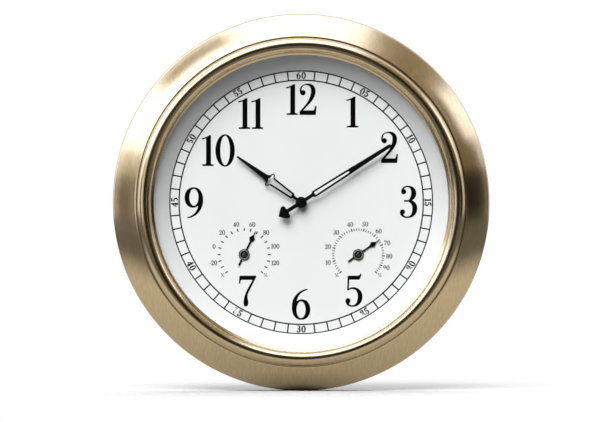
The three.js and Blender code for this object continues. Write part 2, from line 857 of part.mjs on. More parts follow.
function frontCaseGeometry() {
  const shell = cut(
    plate(caseOutline(0), caseSplit + seat, movementFront, 2),
    plate(caseOutline(caseWall), caseSplit - past, caseFloor, 2),
  );
  const plateFront = trainPlateBack + trainPlateThickness + seat;
  const statorFront = statorBack + statorThickness + seat;
  const bearingHole = disc(arborRadius + bearingGap, caseFloor - past, caseFloor + bearingDepth, pinSides);
  const platePost = ([x, y]) => at(disc(postRadius, plateFront, caseFloor + sink, pinSides), x, y);
  const statorPost = ([x, y]) => at(disc(statorPostRadius, statorFront, caseFloor + sink, pinSides), x, y);
  const bearing = ([x, y]) => at(bearingHole.clone(), x, y);
  const shoulderTop = caseFloor + bushingShoulderHeight + seat;
  return cut(
    join(shell, ...platePosts.map(platePost), ...statorPosts.map(statorPost)),
    disc(bushingRadius + seat, caseFloor - past, movementFront + past),
    disc(bushingShoulder + seat, caseFloor - past, shoulderTop),
    ...[rotorAxis, secondAxis, thirdAxis, motionAxis].map(bearing),
  );
}

const antennaDistance = caseHalfWidth - caseWall - antennaSideGap - antennaCoilRadius;
const antennaDepth = rearFloor + antennaHeight + rodRadius;
const saddles = [-17, 14]; // heights of the two blocks that carry the antenna
const saddleHalfWidth = 3;
const saddleHalf = 1.5;
const boardSideGap = 0.5;
const boardEdge = {
  left: coilX + bobbinFlangeRadius + boardSideGap,
  right: antennaDistance - rodRadius - boardSideGap,
  bottom: -caseBelow + caseWall + seat,
  top: -6,
};
const boardPostRadius = 1;
const boardPostInset = 1.5;

function rearCaseGeometry() {
  const walls = cut(
    plate(caseOutline(0), movementBack, caseSplit, 2),
    plate(caseOutline(caseWall), rearFloor, caseSplit + past, 2),
  );
  const bay = block(
    bayLeft - bayWall,
    bayRight + bayWall,
    bayBottom - bayWall,
    bayTop + bayWall,
    movementBack,
    cellFloor + bayWall,
  );
  const bayToWall = block(
    bayLeft - bayWall,
    bayRight + bayWall,
    bayTop,
    caseAbove - caseWall / 2,
    movementBack,
    caseSplit,
  );
  const post = ([x, y]) => at(disc(postRadius, rearFloor - sink, trainPlateBack - seat, pinSides), x, y);
  const boardPost = disc(boardPostRadius, rearFloor - sink, boardBack - seat, pinSides);
  const boardPosts = [boardEdge.left + boardPostInset, 0, boardEdge.right - boardPostInset].map((x) =>
    at(boardPost.clone(), x, boardEdge.bottom + boardPostInset),
  );
  const saddleBlocks = saddles.map((y) =>
    block(
      antennaDistance - saddleHalfWidth,
      antennaDistance + saddleHalfWidth,
      y - saddleHalf,
      y + saddleHalf,
      rearFloor - sink,
      antennaDepth - rodRadius - seat,
    ),
  );
  const slot = (left, travel) =>
    block(
      left - seat,
      left + knobWidth + travel + seat,
      controlsHeight - knobHeight / 2 - seat,
      controlsHeight + knobHeight / 2 + seat,
      movementBack - past,
      rearFloor + past,
    );
  return cut(
    join(walls, bay, bayToWall, ...platePosts.map(post), ...boardPosts, ...saddleBlocks),
    block(bayLeft, bayRight, bayBottom, bayTop, movementBack - past, cellFloor),
    ...buttonPlaces.map((x) =>
      at(disc(buttonRadius + seat, movementBack - past, rearFloor + past), x, controlsHeight),
    ),
    slot(zoneSwitchPlace, zoneSwitchTravel),
    slot(savingSwitchPlace, savingSwitchTravel),
  );
}

const buttonPlaces = [0, 1, 2].map((i) => firstButton + i * buttonSpacing);

function buttonGeometry(x) {
  const flangeFront = rearFloor + seat + buttonFlange;
  const chamfer = 0.4;
  return at(
    turned(
      [
        [0, movementBack - buttonProud],
        [buttonRadius - chamfer, movementBack - buttonProud],
        [buttonRadius, movementBack - buttonProud + chamfer],
        [buttonRadius, rearFloor + seat],
        [buttonFlangeRadius, rearFloor + seat],
        [buttonFlangeRadius, flangeFront],
        [0, flangeFront],
      ],
      18,
    ),
    x,
    controlsHeight,
  );
}

// A slide switch: a knob through the case's slot on a wider slider inside.
function switchGeometry(left) {
  const sliderFront = rearFloor + seat + buttonFlange;
  const sliderMargin = 1.2;
  const half = knobHeight / 2;
  return join(
    block(
      left,
      left + knobWidth,
      controlsHeight - half,
      controlsHeight + half,
      movementBack - buttonProud,
      sliderFront,
    ),
    block(
      left - sliderMargin,
      left + knobWidth + sliderMargin,
      controlsHeight - half - sliderMargin,
      controlsHeight + half + sliderMargin,
      rearFloor + seat,
      sliderFront,
    ),
  );
}

// Train plate: carries the rear pivots, and presses on the board's upper edge.
function trainPlateGeometry() {
  const plateFront = trainPlateBack + trainPlateThickness;
  const margin = 3; // of the plate past its posts and bearings
  const bottom = boardEdge.top - 4;
  const left = rotorAxis[0] - margin;
  const right = platePosts[2][0] + margin;
  const top = platePosts[0][1] + margin;
  const outline = roundedRectangle(left, right, bottom, top, plateCorner);
  const bearing = ([x, y], radius) =>
    at(disc(radius + bearingGap, trainPlateBack - past, plateFront + past, pinSides), x, y);
  const boardBossRadius = 1.2;
  const boardBosses = [-22, 14].map((x) =>
    at(disc(boardBossRadius, boardFront + seat, trainPlateBack + sink, pinSides), x, boardEdge.top - 2),
  );
  const statorBosses = statorPosts.map(([x, y]) =>
    at(disc(statorPostRadius, trainPlateBack + sink, statorBack - seat, pinSides), x, y),
  );
  const wingHalf = 2; // of the strip that reaches the stator's lower post
  const wing = block(
    rotorAxis[0] - wingHalf,
    rotorAxis[0] + wingHalf,
    -statorHalfHeight,
    bottom + past,
    trainPlateBack,
    plateFront,
  );
  return cut(
    join(plate(outline, trainPlateBack, plateFront, 2), wing, ...boardBosses, ...statorBosses),
    bearing(centre, pivotRadius),
    ...[rotorAxis, secondAxis, thirdAxis, motionAxis].map((axis) => bearing(axis, arborRadius)),
  );
}

// Motor: a closed loop of laminations round the rotor, with the coil on its far bar.
const statorBack = magnetBack + (rotorHeight - statorThickness) / 2;

function statorGeometry() {
  const left = coilX - coreWidth / 2;
  const right = rotorAxis[0] + statorHole + statorRim;
  const windowLeft = coilX + coreWidth / 2;
  const windowRight = rotorAxis[0] - statorHole - statorRim;
  const windowHalf = statorHalfHeight - statorBar;
  const top = statorBack + statorThickness;
  return cut(
    block(left, right, -statorHalfHeight, statorHalfHeight, statorBack, top),
    block(windowLeft, windowRight, -windowHalf, windowHalf, statorBack - past, top + past),
    at(disc(statorHole, statorBack - past, top + past), ...rotorAxis),
  );
}

// The coil's axis runs along the clock's y, through the middle of the stator's bar.
const coilMiddle = statorBack + statorThickness / 2;

function alongY(profile, x, z, sides = 16) {
  const points = profile.map((point) => new THREE.Vector2(...point));
  return new THREE.LatheGeometry(points, sides).translate(x, 0, z);
}

function bobbinGeometry() {
  const half = coilLength / 2;
  const inner = half - bobbinFlange;
  const body = alongY(
    [
      [0, -half],
      [bobbinFlangeRadius, -half],
      [bobbinFlangeRadius, -inner],
      [bobbinRadius, -inner],
      [bobbinRadius, inner],
      [bobbinFlangeRadius, inner],
      [bobbinFlangeRadius, half],
      [0, half],
    ],
    coilX,
    coilMiddle,
  );
  const hole = coreWidth / 2 + seat;
  return cut(
    body,
    block(
      coilX - hole,
      coilX + hole,
      -half - past,
      half + past,
      coilMiddle - statorThickness / 2 - seat,
      coilMiddle + statorThickness / 2 + seat,
    ),
  );
}

function coilGeometry() {
  const half = coilLength / 2 - bobbinFlange - seat;
  const inner = bobbinRadius + seat;
  return alongY(
    [[inner, -half], [coilRadius, -half], [coilRadius, half], [inner, half], [inner, -half]],
    coilX,
    coilMiddle,
  );
}

function rodGeometry() {
  const half = rodLength / 2;
  const chamfer = 0.4;
  return alongY(
    [
      [0, -half],
      [rodRadius - chamfer, -half],
      [rodRadius, chamfer - half],
      [rodRadius, half - chamfer],
      [rodRadius - chamfer, half],
      [0, half],
    ],
    antennaDistance,
    antennaDepth,
  );
}

function antennaCoilGeometry() {
  const half = antennaCoilLength / 2;
  const inner = rodRadius + seat;
  return alongY(
    [[inner, -half], [antennaCoilRadius, -half], [antennaCoilRadius, half], [inner, half], [inner, -half]],
    antennaDistance,
    antennaDepth,
  );
}

const boardGeometry = () =>
  block(boardEdge.left, boardEdge.right, boardEdge.bottom, boardEdge.top, boardBack, boardFront);

const partInset = 3; // of the board's parts from its lower edge

function chipGeometry() {
  const size = 6;
  const thickness = 1;
  const inset = 1;
  const left = boardEdge.right - size - inset;
  return block(
    left,
    left + size,
    boardEdge.bottom + partInset,
    boardEdge.bottom + partInset + size,
    boardFront + seat,
    boardFront + seat + thickness,
  );
}

function crystalGeometry() {
  const radius = 1;
  const length = 6;
  const place = 6;
  return new THREE.CylinderGeometry(radius, radius, length, pinSides)
    .rotateZ(Math.PI / 2)
    .translate(place, boardEdge.bottom + partInset, boardFront + seat + radius);
}

// Cell: along x, the plus end with its nub to the right.
function cellGeometry() {
  const round = 0.6;
  const profile = [
    [0, 0],
    [cellRadius - round, 0],
    [cellRadius, round],
    [cellRadius, cellLength - round],
    [cellRadius - round, cellLength],
    [cellNubRadius, cellLength],
    [cellNubRadius, cellLength + cellNubLength],
    [0, cellLength + cellNubLength],
  ];
  return alongY(profile, 0, 0, 20)
    .rotateZ(-Math.PI / 2)
    .translate(cellLeft, cellHeight, cellDepth);
}

// The minus contact is a bent leaf, its bow towards the cell.
const contactHalf = 4;
const contactInset = 2; // of the contacts inside the movement's rear face

function minusContactGeometry() {
  const left = bayLeft + seat;
  const low = movementBack + contactInset;
  const high = cellFloor - seat;
  const middle = (low + high) / 2;
  const bowThickness = 1.3 * contactThickness; // along x, where the leaf slants
  const shape = new THREE.Shape();
  shape.moveTo(left, low);
  shape.lineTo(left + contactThickness, low);
  shape.lineTo(left + leafDepth, middle);
  shape.lineTo(left + contactThickness, high);
  shape.lineTo(left, high);
  shape.lineTo(left + leafDepth - bowThickness, middle);
  // The outline is drawn in x and z, and runs along y.
  return plate(shape, 0, 2 * contactHalf)
    .rotateX(Math.PI / 2)
    .translate(0, cellHeight + contactHalf, 0);
}

function plusContactGeometry() {
  const left = bayRight - seat - contactThickness;
  return block(
    left,
    left + contactThickness,
    cellHeight - contactHalf,
    cellHeight + contactHalf,
    movementBack + contactInset,
    cellFloor - seat,
  );
}

// Pieces that fasten the movement to the dial.
function bushingGeometry() {
  const shoulderTop = caseFloor + bushingShoulderHeight;
  const top = hourHandBack - handHubDepth - runningGap;
  return turned(
    [
      [bushingBore, caseFloor],
      [bushingShoulder, caseFloor],
      [bushingShoulder, shoulderTop],
      [bushingRadius, shoulderTop],
      [bushingRadius, top],
      [bushingBore, top],
      [bushingBore, caseFloor],
    ],
    18,
  );
}

const washerBack = dialFront + seat;
const nutBack = washerBack + dialWasherThickness + seat;

const nutGeometry = () =>
  cut(
    disc(nutAcrossCorners / 2, nutBack, nutBack + nutThickness, 6),
    disc(bushingRadius + seat, nutBack - past, nutBack + nutThickness + past),
  );

// The hands' outlines start inside their hub.
const outlineStart = handHubRadius - 0.5;

// Hour hand, drawn along +x: a stem, a slotted body, a four-lobed star, open inside, and a solid blade.
function hourHandOutline() {
  const stemHalf = 1.35;
  const bodyStart = 9.4;
  const bodyEnd = 33.5;
  const bodyHalfStart = 2.9;
  const bodyHalfEnd = 4.1;
  const starPlace = 36.3;
  const starHalf = 5;
  const lobe = 1.9;
  const bladeStart = 41.5;
  const bladeHalf = 2.6;
  const tipHalf = 0.95;
  const waist = 0.9; // of the star's sides inside the lobes
  const shape = new THREE.Shape();
  shape.moveTo(outlineStart, -stemHalf);
  shape.lineTo(bodyStart - 1, -stemHalf);
  shape.quadraticCurveTo(bodyStart, -stemHalf, bodyStart, -bodyHalfStart);
  shape.lineTo(bodyEnd, -bodyHalfEnd);
  shape.lineTo(starPlace - lobe, -starHalf);
  shape.absarc(starPlace, -starHalf, lobe, Math.PI, 2 * Math.PI);
  shape.quadraticCurveTo(starPlace + lobe, -bladeHalf - waist, bladeStart, -bladeHalf);
  shape.lineTo(hourHandLength - tipHalf, -tipHalf);
  shape.absarc(hourHandLength - tipHalf, 0, tipHalf, -Math.PI / 2, Math.PI / 2);
  shape.lineTo(bladeStart, bladeHalf);
  shape.quadraticCurveTo(starPlace + lobe, bladeHalf + waist, starPlace + lobe, starHalf);
  shape.absarc(starPlace, starHalf, lobe, 0, Math.PI);
  shape.lineTo(bodyEnd, bodyHalfEnd);
  shape.lineTo(bodyStart, bodyHalfStart);
  shape.quadraticCurveTo(bodyStart, stemHalf, bodyStart - 1, stemHalf);
  shape.lineTo(outlineStart, stemHalf);
  const slot = new THREE.Path();
  const slotStart = bodyStart + handBorder;
  const slotHalfStart = bodyHalfStart - handBorder;
  const slotHalfEnd = bodyHalfEnd - handBorder;
  const hollow = 0.75; // half the width of the opening in a lobe
  const slotTip = starPlace + 2.2;
  slot.moveTo(slotStart, -slotHalfStart);
  slot.lineTo(bodyEnd, -slotHalfEnd);
  slot.lineTo(starPlace - hollow, -starHalf);
  slot.absarc(starPlace, -starHalf, hollow, Math.PI, 2 * Math.PI);
  slot.quadraticCurveTo(starPlace + hollow, -waist, slotTip, 0);
  slot.quadraticCurveTo(starPlace + hollow, waist, starPlace + hollow, starHalf);
  slot.absarc(starPlace, starHalf, hollow, 0, Math.PI);
  slot.lineTo(bodyEnd, slotHalfEnd);
  slot.lineTo(slotStart, slotHalfStart);
  slot.closePath();
  shape.holes.push(slot);
  return shape;
}

// Minute hand, drawn along +x: a heart-shaped counterweight, a stem, a long slot and a solid end.
function minuteHandOutline() {
  const stemHalf = 1.65;
  const bodyStart = 13.2;
  const bodyHalfStart = 3.2;
  const slotEnd = 53.5;
  const slotEndHalf = 2.65;
  const tipHalf = 1.6;
  const tailStemHalf = 1.8;
  const heartPlace = -17.6;
  const heartHalf = 4.1;
  const heartLobe = 2.3;
  const heartShoulder = -21;
  const heartBelly = 4.7;
  const tailTip = -25.3;
  const shape = new THREE.Shape();
  shape.moveTo(outlineStart, -stemHalf);
  shape.lineTo(bodyStart - 1.5, -stemHalf);
  shape.quadraticCurveTo(bodyStart, -stemHalf, bodyStart + 0.6, -bodyHalfStart);
  shape.lineTo(slotEnd, -slotEndHalf);
  shape.lineTo(minuteHandLength - tipHalf, -tipHalf);
  shape.absarc(minuteHandLength - tipHalf, 0, tipHalf, -Math.PI / 2, Math.PI / 2);
  shape.lineTo(slotEnd, slotEndHalf);
  shape.lineTo(bodyStart + 0.6, bodyHalfStart);
  shape.quadraticCurveTo(bodyStart, stemHalf, bodyStart - 1.5, stemHalf);
  shape.lineTo(outlineStart, stemHalf);
  shape.lineTo(outlineStart, tailStemHalf);
  shape.lineTo(-outlineStart, tailStemHalf);
  shape.lineTo(heartPlace + heartLobe, tailStemHalf);
  shape.lineTo(heartPlace + heartLobe, heartHalf);
  shape.absarc(heartPlace, heartHalf, heartLobe, 0, 0.75 * Math.PI);
  shape.quadraticCurveTo(heartShoulder, heartBelly, tailTip, 0);
  shape.quadraticCurveTo(
    heartShoulder,
    -heartBelly,
    heartPlace - heartLobe * Math.SQRT1_2,
    -heartHalf - heartLobe * Math.SQRT1_2,
  );
  shape.absarc(heartPlace, -heartHalf, heartLobe, 1.25 * Math.PI, 2 * Math.PI);
  shape.lineTo(heartPlace + heartLobe, -tailStemHalf);
  shape.lineTo(-outlineStart, -tailStemHalf);
  shape.lineTo(outlineStart, -tailStemHalf);
  const slot = new THREE.Path();
  const slotStart = bodyStart + handBorder + 0.3;
  const slotHalfStart = bodyHalfStart - handBorder;
  const slotHalfEnd = 0.8;
  slot.moveTo(slotStart, -slotHalfStart);
  slot.lineTo(slotEnd - slotHalfEnd, -slotHalfEnd);
  slot.absarc(slotEnd - slotHalfEnd, 0, slotHalfEnd, -Math.PI / 2, Math.PI / 2);
  slot.lineTo(slotStart, slotHalfStart);
  slot.closePath();
  shape.holes.push(slot);
  return shape;
}

function handGeometry(outline, back, holeRadius, angle) {
  const front = back + handThickness;
  return cut(
    join(plate(outline, back, front, 3), disc(handHubRadius, back - handHubDepth, front)),
    disc(holeRadius, back - past, front + past),
  ).rotateZ(angle);
}

function handNutGeometry() {
  const back = minuteHandBack + handThickness + seat;
  const top = back + handNutHeight;
  const chamfer = 0.7;
  const bore = minuteArborRadius + seat;
  const depth = back + arborAboveHand;
  return turned(
    [
      [bore, back],
      [handNutRadius, back],
      [handNutRadius, top - chamfer],
      [handNutRadius - chamfer, top],
      [0, top],
      [0, depth],
      [bore, depth],
      [bore, back],
    ],
    18,
  );
}

// Gauges: a cup behind the dial, a coiled strip, an arbor and a pointer in front.
const cupFront = dialBack - seat;
const cupBack = cupFront - cupDepth;
const cupFloor = cupBack + cupWall;
const cupSocketBack = cupBack + cupSocketFloor;
const cupBossTop = cupFloor + cupBossHeight;
const pointerBack = dialFront + pointerAboveDial;
const gaugeArborEnd = pointerBack + gaugeHubHeight - 2 * seat;

function cupGeometry() {
  const body = turned(
    [
      [0, cupBack],
      [cupRadius, cupBack],
      [cupRadius, cupFront],
      [cupRadius - cupWall, cupFront],
      [cupRadius - cupWall, cupFloor],
      [cupBossRadius, cupFloor],
      [cupBossRadius, cupBossTop],
      [0, cupBossTop],
    ],
    24,
  );
  const vents = Array.from({ length: cupVentCount }, (_, i) => {
    const angle = (i * 2 * Math.PI) / cupVentCount;
    const vent = disc(cupVentRadius, cupBack - past, cupFloor + past, pinSides);
    return at(vent, cupVentCircle * Math.cos(angle), cupVentCircle * Math.sin(angle));
  });
  const socket = disc(gaugeArborRadius + runningGap, cupSocketBack, cupBossTop + past, pinSides);
  return cut(body, socket, ...vents);
}

function bimetalGeometry() {
  const inner = gaugeArborRadius + seat + bimetalThickness / 2;
  const outer = cupRadius - cupWall - seat - bimetalThickness / 2;
  const steps = bimetalTurns * bimetalSteps;
  const low = cupBossTop + seat;
  const side = (offset) =>
    Array.from({ length: steps + 1 }, (_, i) => {
      const angle = (2 * Math.PI * i) / bimetalSteps;
      const radius = inner + ((outer - inner) * i) / steps + offset;
      return new THREE.Vector2(radius * Math.cos(angle), radius * Math.sin(angle));
    });
  const half = bimetalThickness / 2;
  return plate(new THREE.Shape([...side(half), ...side(-half).reverse()]), low, low + bimetalWidth);
}

const gaugeArborGeometry = () => disc(gaugeArborRadius, cupSocketBack + seat, gaugeArborEnd, pinSides);

// Gauge pointer, drawn along +x: a thin stem with a leaf-shaped head, and a plain tail.
function pointerGeometry() {
  const stem = 0.65;
  const leafStart = pointerHeadPlace - 4.5;
  const swell = pointerHeadPlace - 3;
  const taper = pointerHeadPlace + 2;
  const shape = new THREE.Shape();
  shape.moveTo(-pointerTail, -stem);
  shape.lineTo(leafStart, -stem);
  shape.quadraticCurveTo(swell, -pointerHeadHalfWidth, pointerHeadPlace, -pointerHeadHalfWidth);
  shape.quadraticCurveTo(taper, -pointerNeck, pointerReach, 0);
  shape.quadraticCurveTo(taper, pointerNeck, pointerHeadPlace, pointerHeadHalfWidth);
  shape.quadraticCurveTo(swell, pointerHeadHalfWidth, leafStart, stem);
  shape.lineTo(-pointerTail, stem);
  const crownRadius = 3;
  const crownTop = 2.5;
  const hubTop = pointerBack + gaugeHubHeight;
  const hub = turned(
    [
      [0, pointerBack],
      [gaugeHubRadius, pointerBack],
      [gaugeHubRadius, pointerBack + gaugePointerThickness],
      [crownRadius, pointerBack + gaugePointerThickness],
      [crownTop, hubTop],
      [0, hubTop],
    ],
    18,
  );
  return cut(
    join(plate(shape, pointerBack, pointerBack + gaugePointerThickness, 3), hub),
    disc(gaugeArborRadius + seat, pointerBack - past, gaugeArborEnd + seat, pinSides),
  );
}

// Assembly
add('frame', frameGeometry(), champagne);
add('front_glass', disc(glassRadius, glassBack, glassFront, roundSides), glassMaterial);
add(
  'glass_gasket',
  ring(gasketInner, gasketOuter, gasketBack, gasketBack + gasketThickness),
  rubber,
);
add('dial_ring', dialRingGeometry(), whitePlastic);
add('dial', dialGeometry(), dialWhite);
dialScrewPlaces().forEach(([x, y], i) => {
  const screw = screwGeometry(dialBack - seat - dialScrewHeadHeight, dialScrewHeadHeight, dialScrewLength);
  add(`dial_screw_${i + 1}`, at(screw, x, y), steel);
});
add('back_cover', coverGeometry(), blackPlastic);
coverScrewPlaces().forEach(([x, y], i) => {
  const screw = screwGeometry(counterboreDepth - seat - screwHeadHeight, screwHeadHeight, coverScrewLength);
  add(`cover_screw_${i + 1}`, at(screw, x, y), steel);
});
add('hanger_plate', hangerPlateGeometry(), steel);
hangerScrewPlaces.forEach(([x, y], i) => {
  const headBack = hangerPlateDepth - seat - hangerHeadHeight;
  const screw = screwGeometry(headBack, hangerHeadHeight, hangerScrewLength);
  add(`hanger_screw_${i + 1}`, at(screw, x, y), steel);
});

add('movement_front_case', frontCaseGeometry(), greyPlastic);
add('movement_rear_case', rearCaseGeometry(), greyPlastic);
add('train_plate', trainPlateGeometry(), natural);
add('mounting_bushing', bushingGeometry(), brass);
const rubberBack = movementFront + seat;
add(
  'rubber_washer',
  ring(bushingRadius + seat, rubberRadius, rubberBack, rubberBack + rubberThickness, 18),
  rubber,
);
add(
  'dial_washer',
  ring(bushingRadius + seat, dialWasherRadius, washerBack, washerBack + dialWasherThickness, 18),
  blackMetal,
);
add('mounting_nut', nutGeometry(), blackMetal);

add('coil_bobbin', bobbinGeometry(), natural);
add('coil_winding', coilGeometry(), copper);
add('stator', statorGeometry(), darkMetal);
add('rotor', at(rotorGeometry(), ...rotorAxis), darkMetal);
add('second_wheel', at(secondWheelGeometry(), ...secondAxis), natural);
add('third_wheel', at(thirdWheelGeometry(), ...thirdAxis), natural);
add('minute_wheel', minuteWheelGeometry(), natural);
add('motion_wheel', at(motionWheelGeometry(), ...motionAxis), natural);
add('hour_wheel', hourWheelGeometry(), natural);

add('circuit_board', boardGeometry(), boardGreen);
add('receiver_chip', chipGeometry(), blackPlastic);
add('quartz_crystal', crystalGeometry(), steel);
add('antenna_rod', rodGeometry(), darkMetal);
add('antenna_coil', antennaCoilGeometry(), copper);
add('battery_cell', cellGeometry(), cellColour);
add('minus_contact', minusContactGeometry(), steel);
add('plus_contact', plusContactGeometry(), steel);
['set_button', 'receive_button', 'reset_button'].forEach((name, i) => {
  add(name, buttonGeometry(buttonPlaces[i]), redPlastic);
});
add('time_zone_switch', switchGeometry(zoneSwitchPlace), blackPlastic);
add('daylight_saving_switch', switchGeometry(savingSwitchPlace), blackPlastic);

add(
  'hour_hand',
  handGeometry(hourHandOutline(), hourHandBack, hourPipeRadius + seat, hourHandAngle),
  blackMetal,
);
add(
  'minute_hand',
  handGeometry(minuteHandOutline(), minuteHandBack, minuteArborRadius + seat, minuteHandAngle),
  blackMetal,
);
add('hand_nut', handNutGeometry(), blackMetal);

function addGauge(name, coilName, x, angle) {
  const gauge = new THREE.Group();
  gauge.position.set(x, -gaugeDrop, 0);
  clock.add(gauge);
  add(`${name}_cup`, cupGeometry(), blackPlastic, gauge);
  add(coilName, bimetalGeometry(), brass, gauge);
  add(`${name}_arbor`, gaugeArborGeometry(), brass, gauge);
  add(`${name}_pointer`, pointerGeometry().rotateZ(angle), blackMetal, gauge);
}
addGauge('thermometer', 'thermometer_coil', -gaugeSpread, thermometerAngle);
addGauge('hygrometer', 'humidity_coil', gaugeSpread, hygrometerAngle);

clock.rotation.x = Math.PI / 2;
clock.position.z = -hangerHeight;
const part = new THREE.Group();
part.add(clock);

export default part;
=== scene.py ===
import math
from functools import partial

import bmesh
import bpy
from mathutils import Matrix, Vector


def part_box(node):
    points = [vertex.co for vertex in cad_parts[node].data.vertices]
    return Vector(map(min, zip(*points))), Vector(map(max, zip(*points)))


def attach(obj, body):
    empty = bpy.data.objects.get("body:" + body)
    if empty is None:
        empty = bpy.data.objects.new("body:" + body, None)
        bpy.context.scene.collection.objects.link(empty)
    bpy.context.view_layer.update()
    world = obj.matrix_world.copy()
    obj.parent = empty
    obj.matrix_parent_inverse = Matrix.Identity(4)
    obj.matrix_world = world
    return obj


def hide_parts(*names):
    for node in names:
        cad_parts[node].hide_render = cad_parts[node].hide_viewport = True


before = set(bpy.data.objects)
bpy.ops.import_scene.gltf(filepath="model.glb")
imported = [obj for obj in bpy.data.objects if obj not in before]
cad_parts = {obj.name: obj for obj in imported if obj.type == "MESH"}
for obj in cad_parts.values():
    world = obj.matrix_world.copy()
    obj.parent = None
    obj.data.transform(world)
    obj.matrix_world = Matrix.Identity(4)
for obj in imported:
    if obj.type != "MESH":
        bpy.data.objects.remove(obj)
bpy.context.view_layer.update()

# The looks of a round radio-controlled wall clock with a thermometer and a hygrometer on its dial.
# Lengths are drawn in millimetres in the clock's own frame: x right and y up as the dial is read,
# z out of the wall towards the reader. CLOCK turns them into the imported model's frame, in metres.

MM = 0.001
HANGER_HEIGHT = 124.0  # of the nail above the dial's centre
CLOCK = Matrix(((MM, 0, 0, 0), (0, 0, -MM, 0), (0, MM, 0, -HANGER_HEIGHT * MM), (0, 0, 0, 1)))

# Heights above the wall plane
DIAL_FRONT = 22.0
GLASS_BACK = 33.9
GLASS_FRONT = 35.9
LIP_BACK = 37.3
LIP_FRONT = 38.5
ROLL_BASE = 38.8
FLANGE_BACK = 4.3

# Radii
FRAME_RADIUS = 177.8
FRAME_WALL = 1.2
OPENING = 138.6
ROLL_CENTRE = 147.6
ROLL = 6.6
BEAD_CENTRE = 156.0
BEAD = 1.2
BAND_INNER = 157.8
DIAL_SHOWN = 124.5
GAUGE_SPREAD = 53.8
GAUGE_DROP = 49.3
HUB = 5.3  # of a hand
INK = 0.03  # how far the print stands proud

round_sides = 360


# Materials

def give(target, value):
    """Sets a socket to a number or colour, or links it to the socket that feeds it."""
    if isinstance(value, bpy.types.NodeSocket):
        target.id_data.links.new(value, target)
    else:
        target.default_value = value


def add_node(tree, kind, inputs=None, **settings):
    """A new node with its settings and inputs."""
    made = tree.nodes.new(kind)
    for key, value in settings.items():
        setattr(made, key, value)
    for socket, value in (inputs or {}).items():
        give(made.inputs[socket], value)
    return made


def fill_ramp(ramp, stops):
    """Puts stops of a position and a colour on a new ramp, the first one at its start."""
    (_, first_colour), *middle, (last_position, last_colour) = stops
    ramp.elements[0].color = first_colour
    ramp.elements[1].position = last_position
    ramp.elements[1].color = last_colour
    for position, colour in middle:
        ramp.elements.new(position).color = colour


class Look:
    """A procedural material under construction."""

    def __init__(self, name, colour, roughness, metallic=0.0):
        self.material = bpy.data.materials.new(name)
        self.material.use_nodes = True
        self.tree = self.material.node_tree
        self.shader = self.tree.nodes["Principled BSDF"]
        self.colour = colour
        self.set("Base Color", (*colour, 1.0))
        self.set("Roughness", roughness)
        self.set("Metallic", metallic)
        self.place = self.node("ShaderNodeTexCoord").outputs["Object"]

    def set(self, socket, value):
        give(self.shader.inputs[socket], value)

    def node(self, kind, inputs=None, **settings):
        return add_node(self.tree, kind, inputs, **settings)

    def noise(self, size, detail, stretch=(1, 1, 1)):
        """Noise with spots of about this size in mm, made longer along each axis by its stretch."""
        scale = [1 / (size * MM * factor) for factor in stretch]
        scaled = self.node("ShaderNodeMapping", {"Vector": self.place, "Scale": scale})
        inputs = {"Vector": scaled.outputs["Vector"], "Scale": 1.0, "Detail": detail}
        return self.node("ShaderNodeTexNoise", inputs).outputs["Fac"]

    def ranged(self, value, low, high, from_low=0.3, from_high=0.7):
        """The value brought from one range into another."""
        limits = {"From Min": from_low, "From Max": from_high, "To Min": low, "To Max": high}
        return self.node("ShaderNodeMapRange", {"Value": value, **limits}).outputs["Result"]

    def stepped(self, share, stops):
        """Plain colours side by side, each from its own share onwards."""
        made = self.node("ShaderNodeValToRGB", {"Fac": share})
        made.color_ramp.interpolation = "CONSTANT"
        fill_ramp(made.color_ramp, stops)
        return made.outputs["Color"]

    def vary_colour(self, value, darker, lighter):
        """The colour runs from darker to lighter times its own value."""
        mix = self.node("ShaderNodeMix", {0: self.ranged(value, 0, 1)}, data_type="RGBA")
        ends = [socket for socket in mix.inputs if socket.type == "RGBA"]
        for socket, share in zip(ends, (darker, lighter)):
            give(socket, (*(channel * share for channel in self.colour), 1.0))
        self.set("Base Color", next(socket for socket in mix.outputs if socket.type == "RGBA"))

    def vary_roughness(self, value, low, high):
        self.set("Roughness", self.ranged(value, low, high))

    def bump(self, value, height):
        """Relief of this height in mm."""
        inputs = {"Height": value, "Strength": 1.0, "Distance": height * MM}
        self.set("Normal", self.node("ShaderNodeBump", inputs).outputs["Normal"])


def champagne():
    """Champagne metal under clear lacquer, brushed straight up and down before it was pressed."""
    look = Look("champagne_metal", (0.50, 0.378, 0.195), 0.2, 1.0)
    brushing = look.noise(1.3, 4.0, (1, 5, 5))
    worn = look.noise(45.0, 3.0)
    look.vary_colour(brushing, 0.92, 1.08)
    look.vary_roughness(worn, 0.17, 0.23)
    look.bump(brushing, 0.016)
    look.set("Anisotropic", 0.6)
    look.set("Coat Weight", 1.0)
    look.set("Coat Roughness", 0.18)
    look.set("Coat IOR", 1.5)
    upright = look.node("ShaderNodeCombineXYZ", {"X": 1.0})
    look.set("Tangent", upright.outputs["Vector"])
    return look.material


def moulded(name, colour, roughness, grain, height):
    """Moulded plastic with a fine spark-eroded grain and a slow drift of its sheen."""
    look = Look(name, colour, roughness)
    look.vary_colour(look.noise(30.0, 3.0), 0.93, 1.06)
    look.vary_roughness(look.noise(6.0, 4.0), roughness - 0.06, roughness + 0.08)
    look.bump(look.noise(grain, 2.0), height)
    return look.material


def ring_white():
    """The dial ring's smooth white plastic."""
    look = Look("ring_white", (0.76, 0.75, 0.75), 0.34)
    look.vary_colour(look.noise(40.0, 3.0), 0.98, 1.02)
    look.vary_roughness(look.noise(4.0, 4.0), 0.3, 0.4)
    look.bump(look.noise(0.5, 2.0), 0.002)
    return look.material


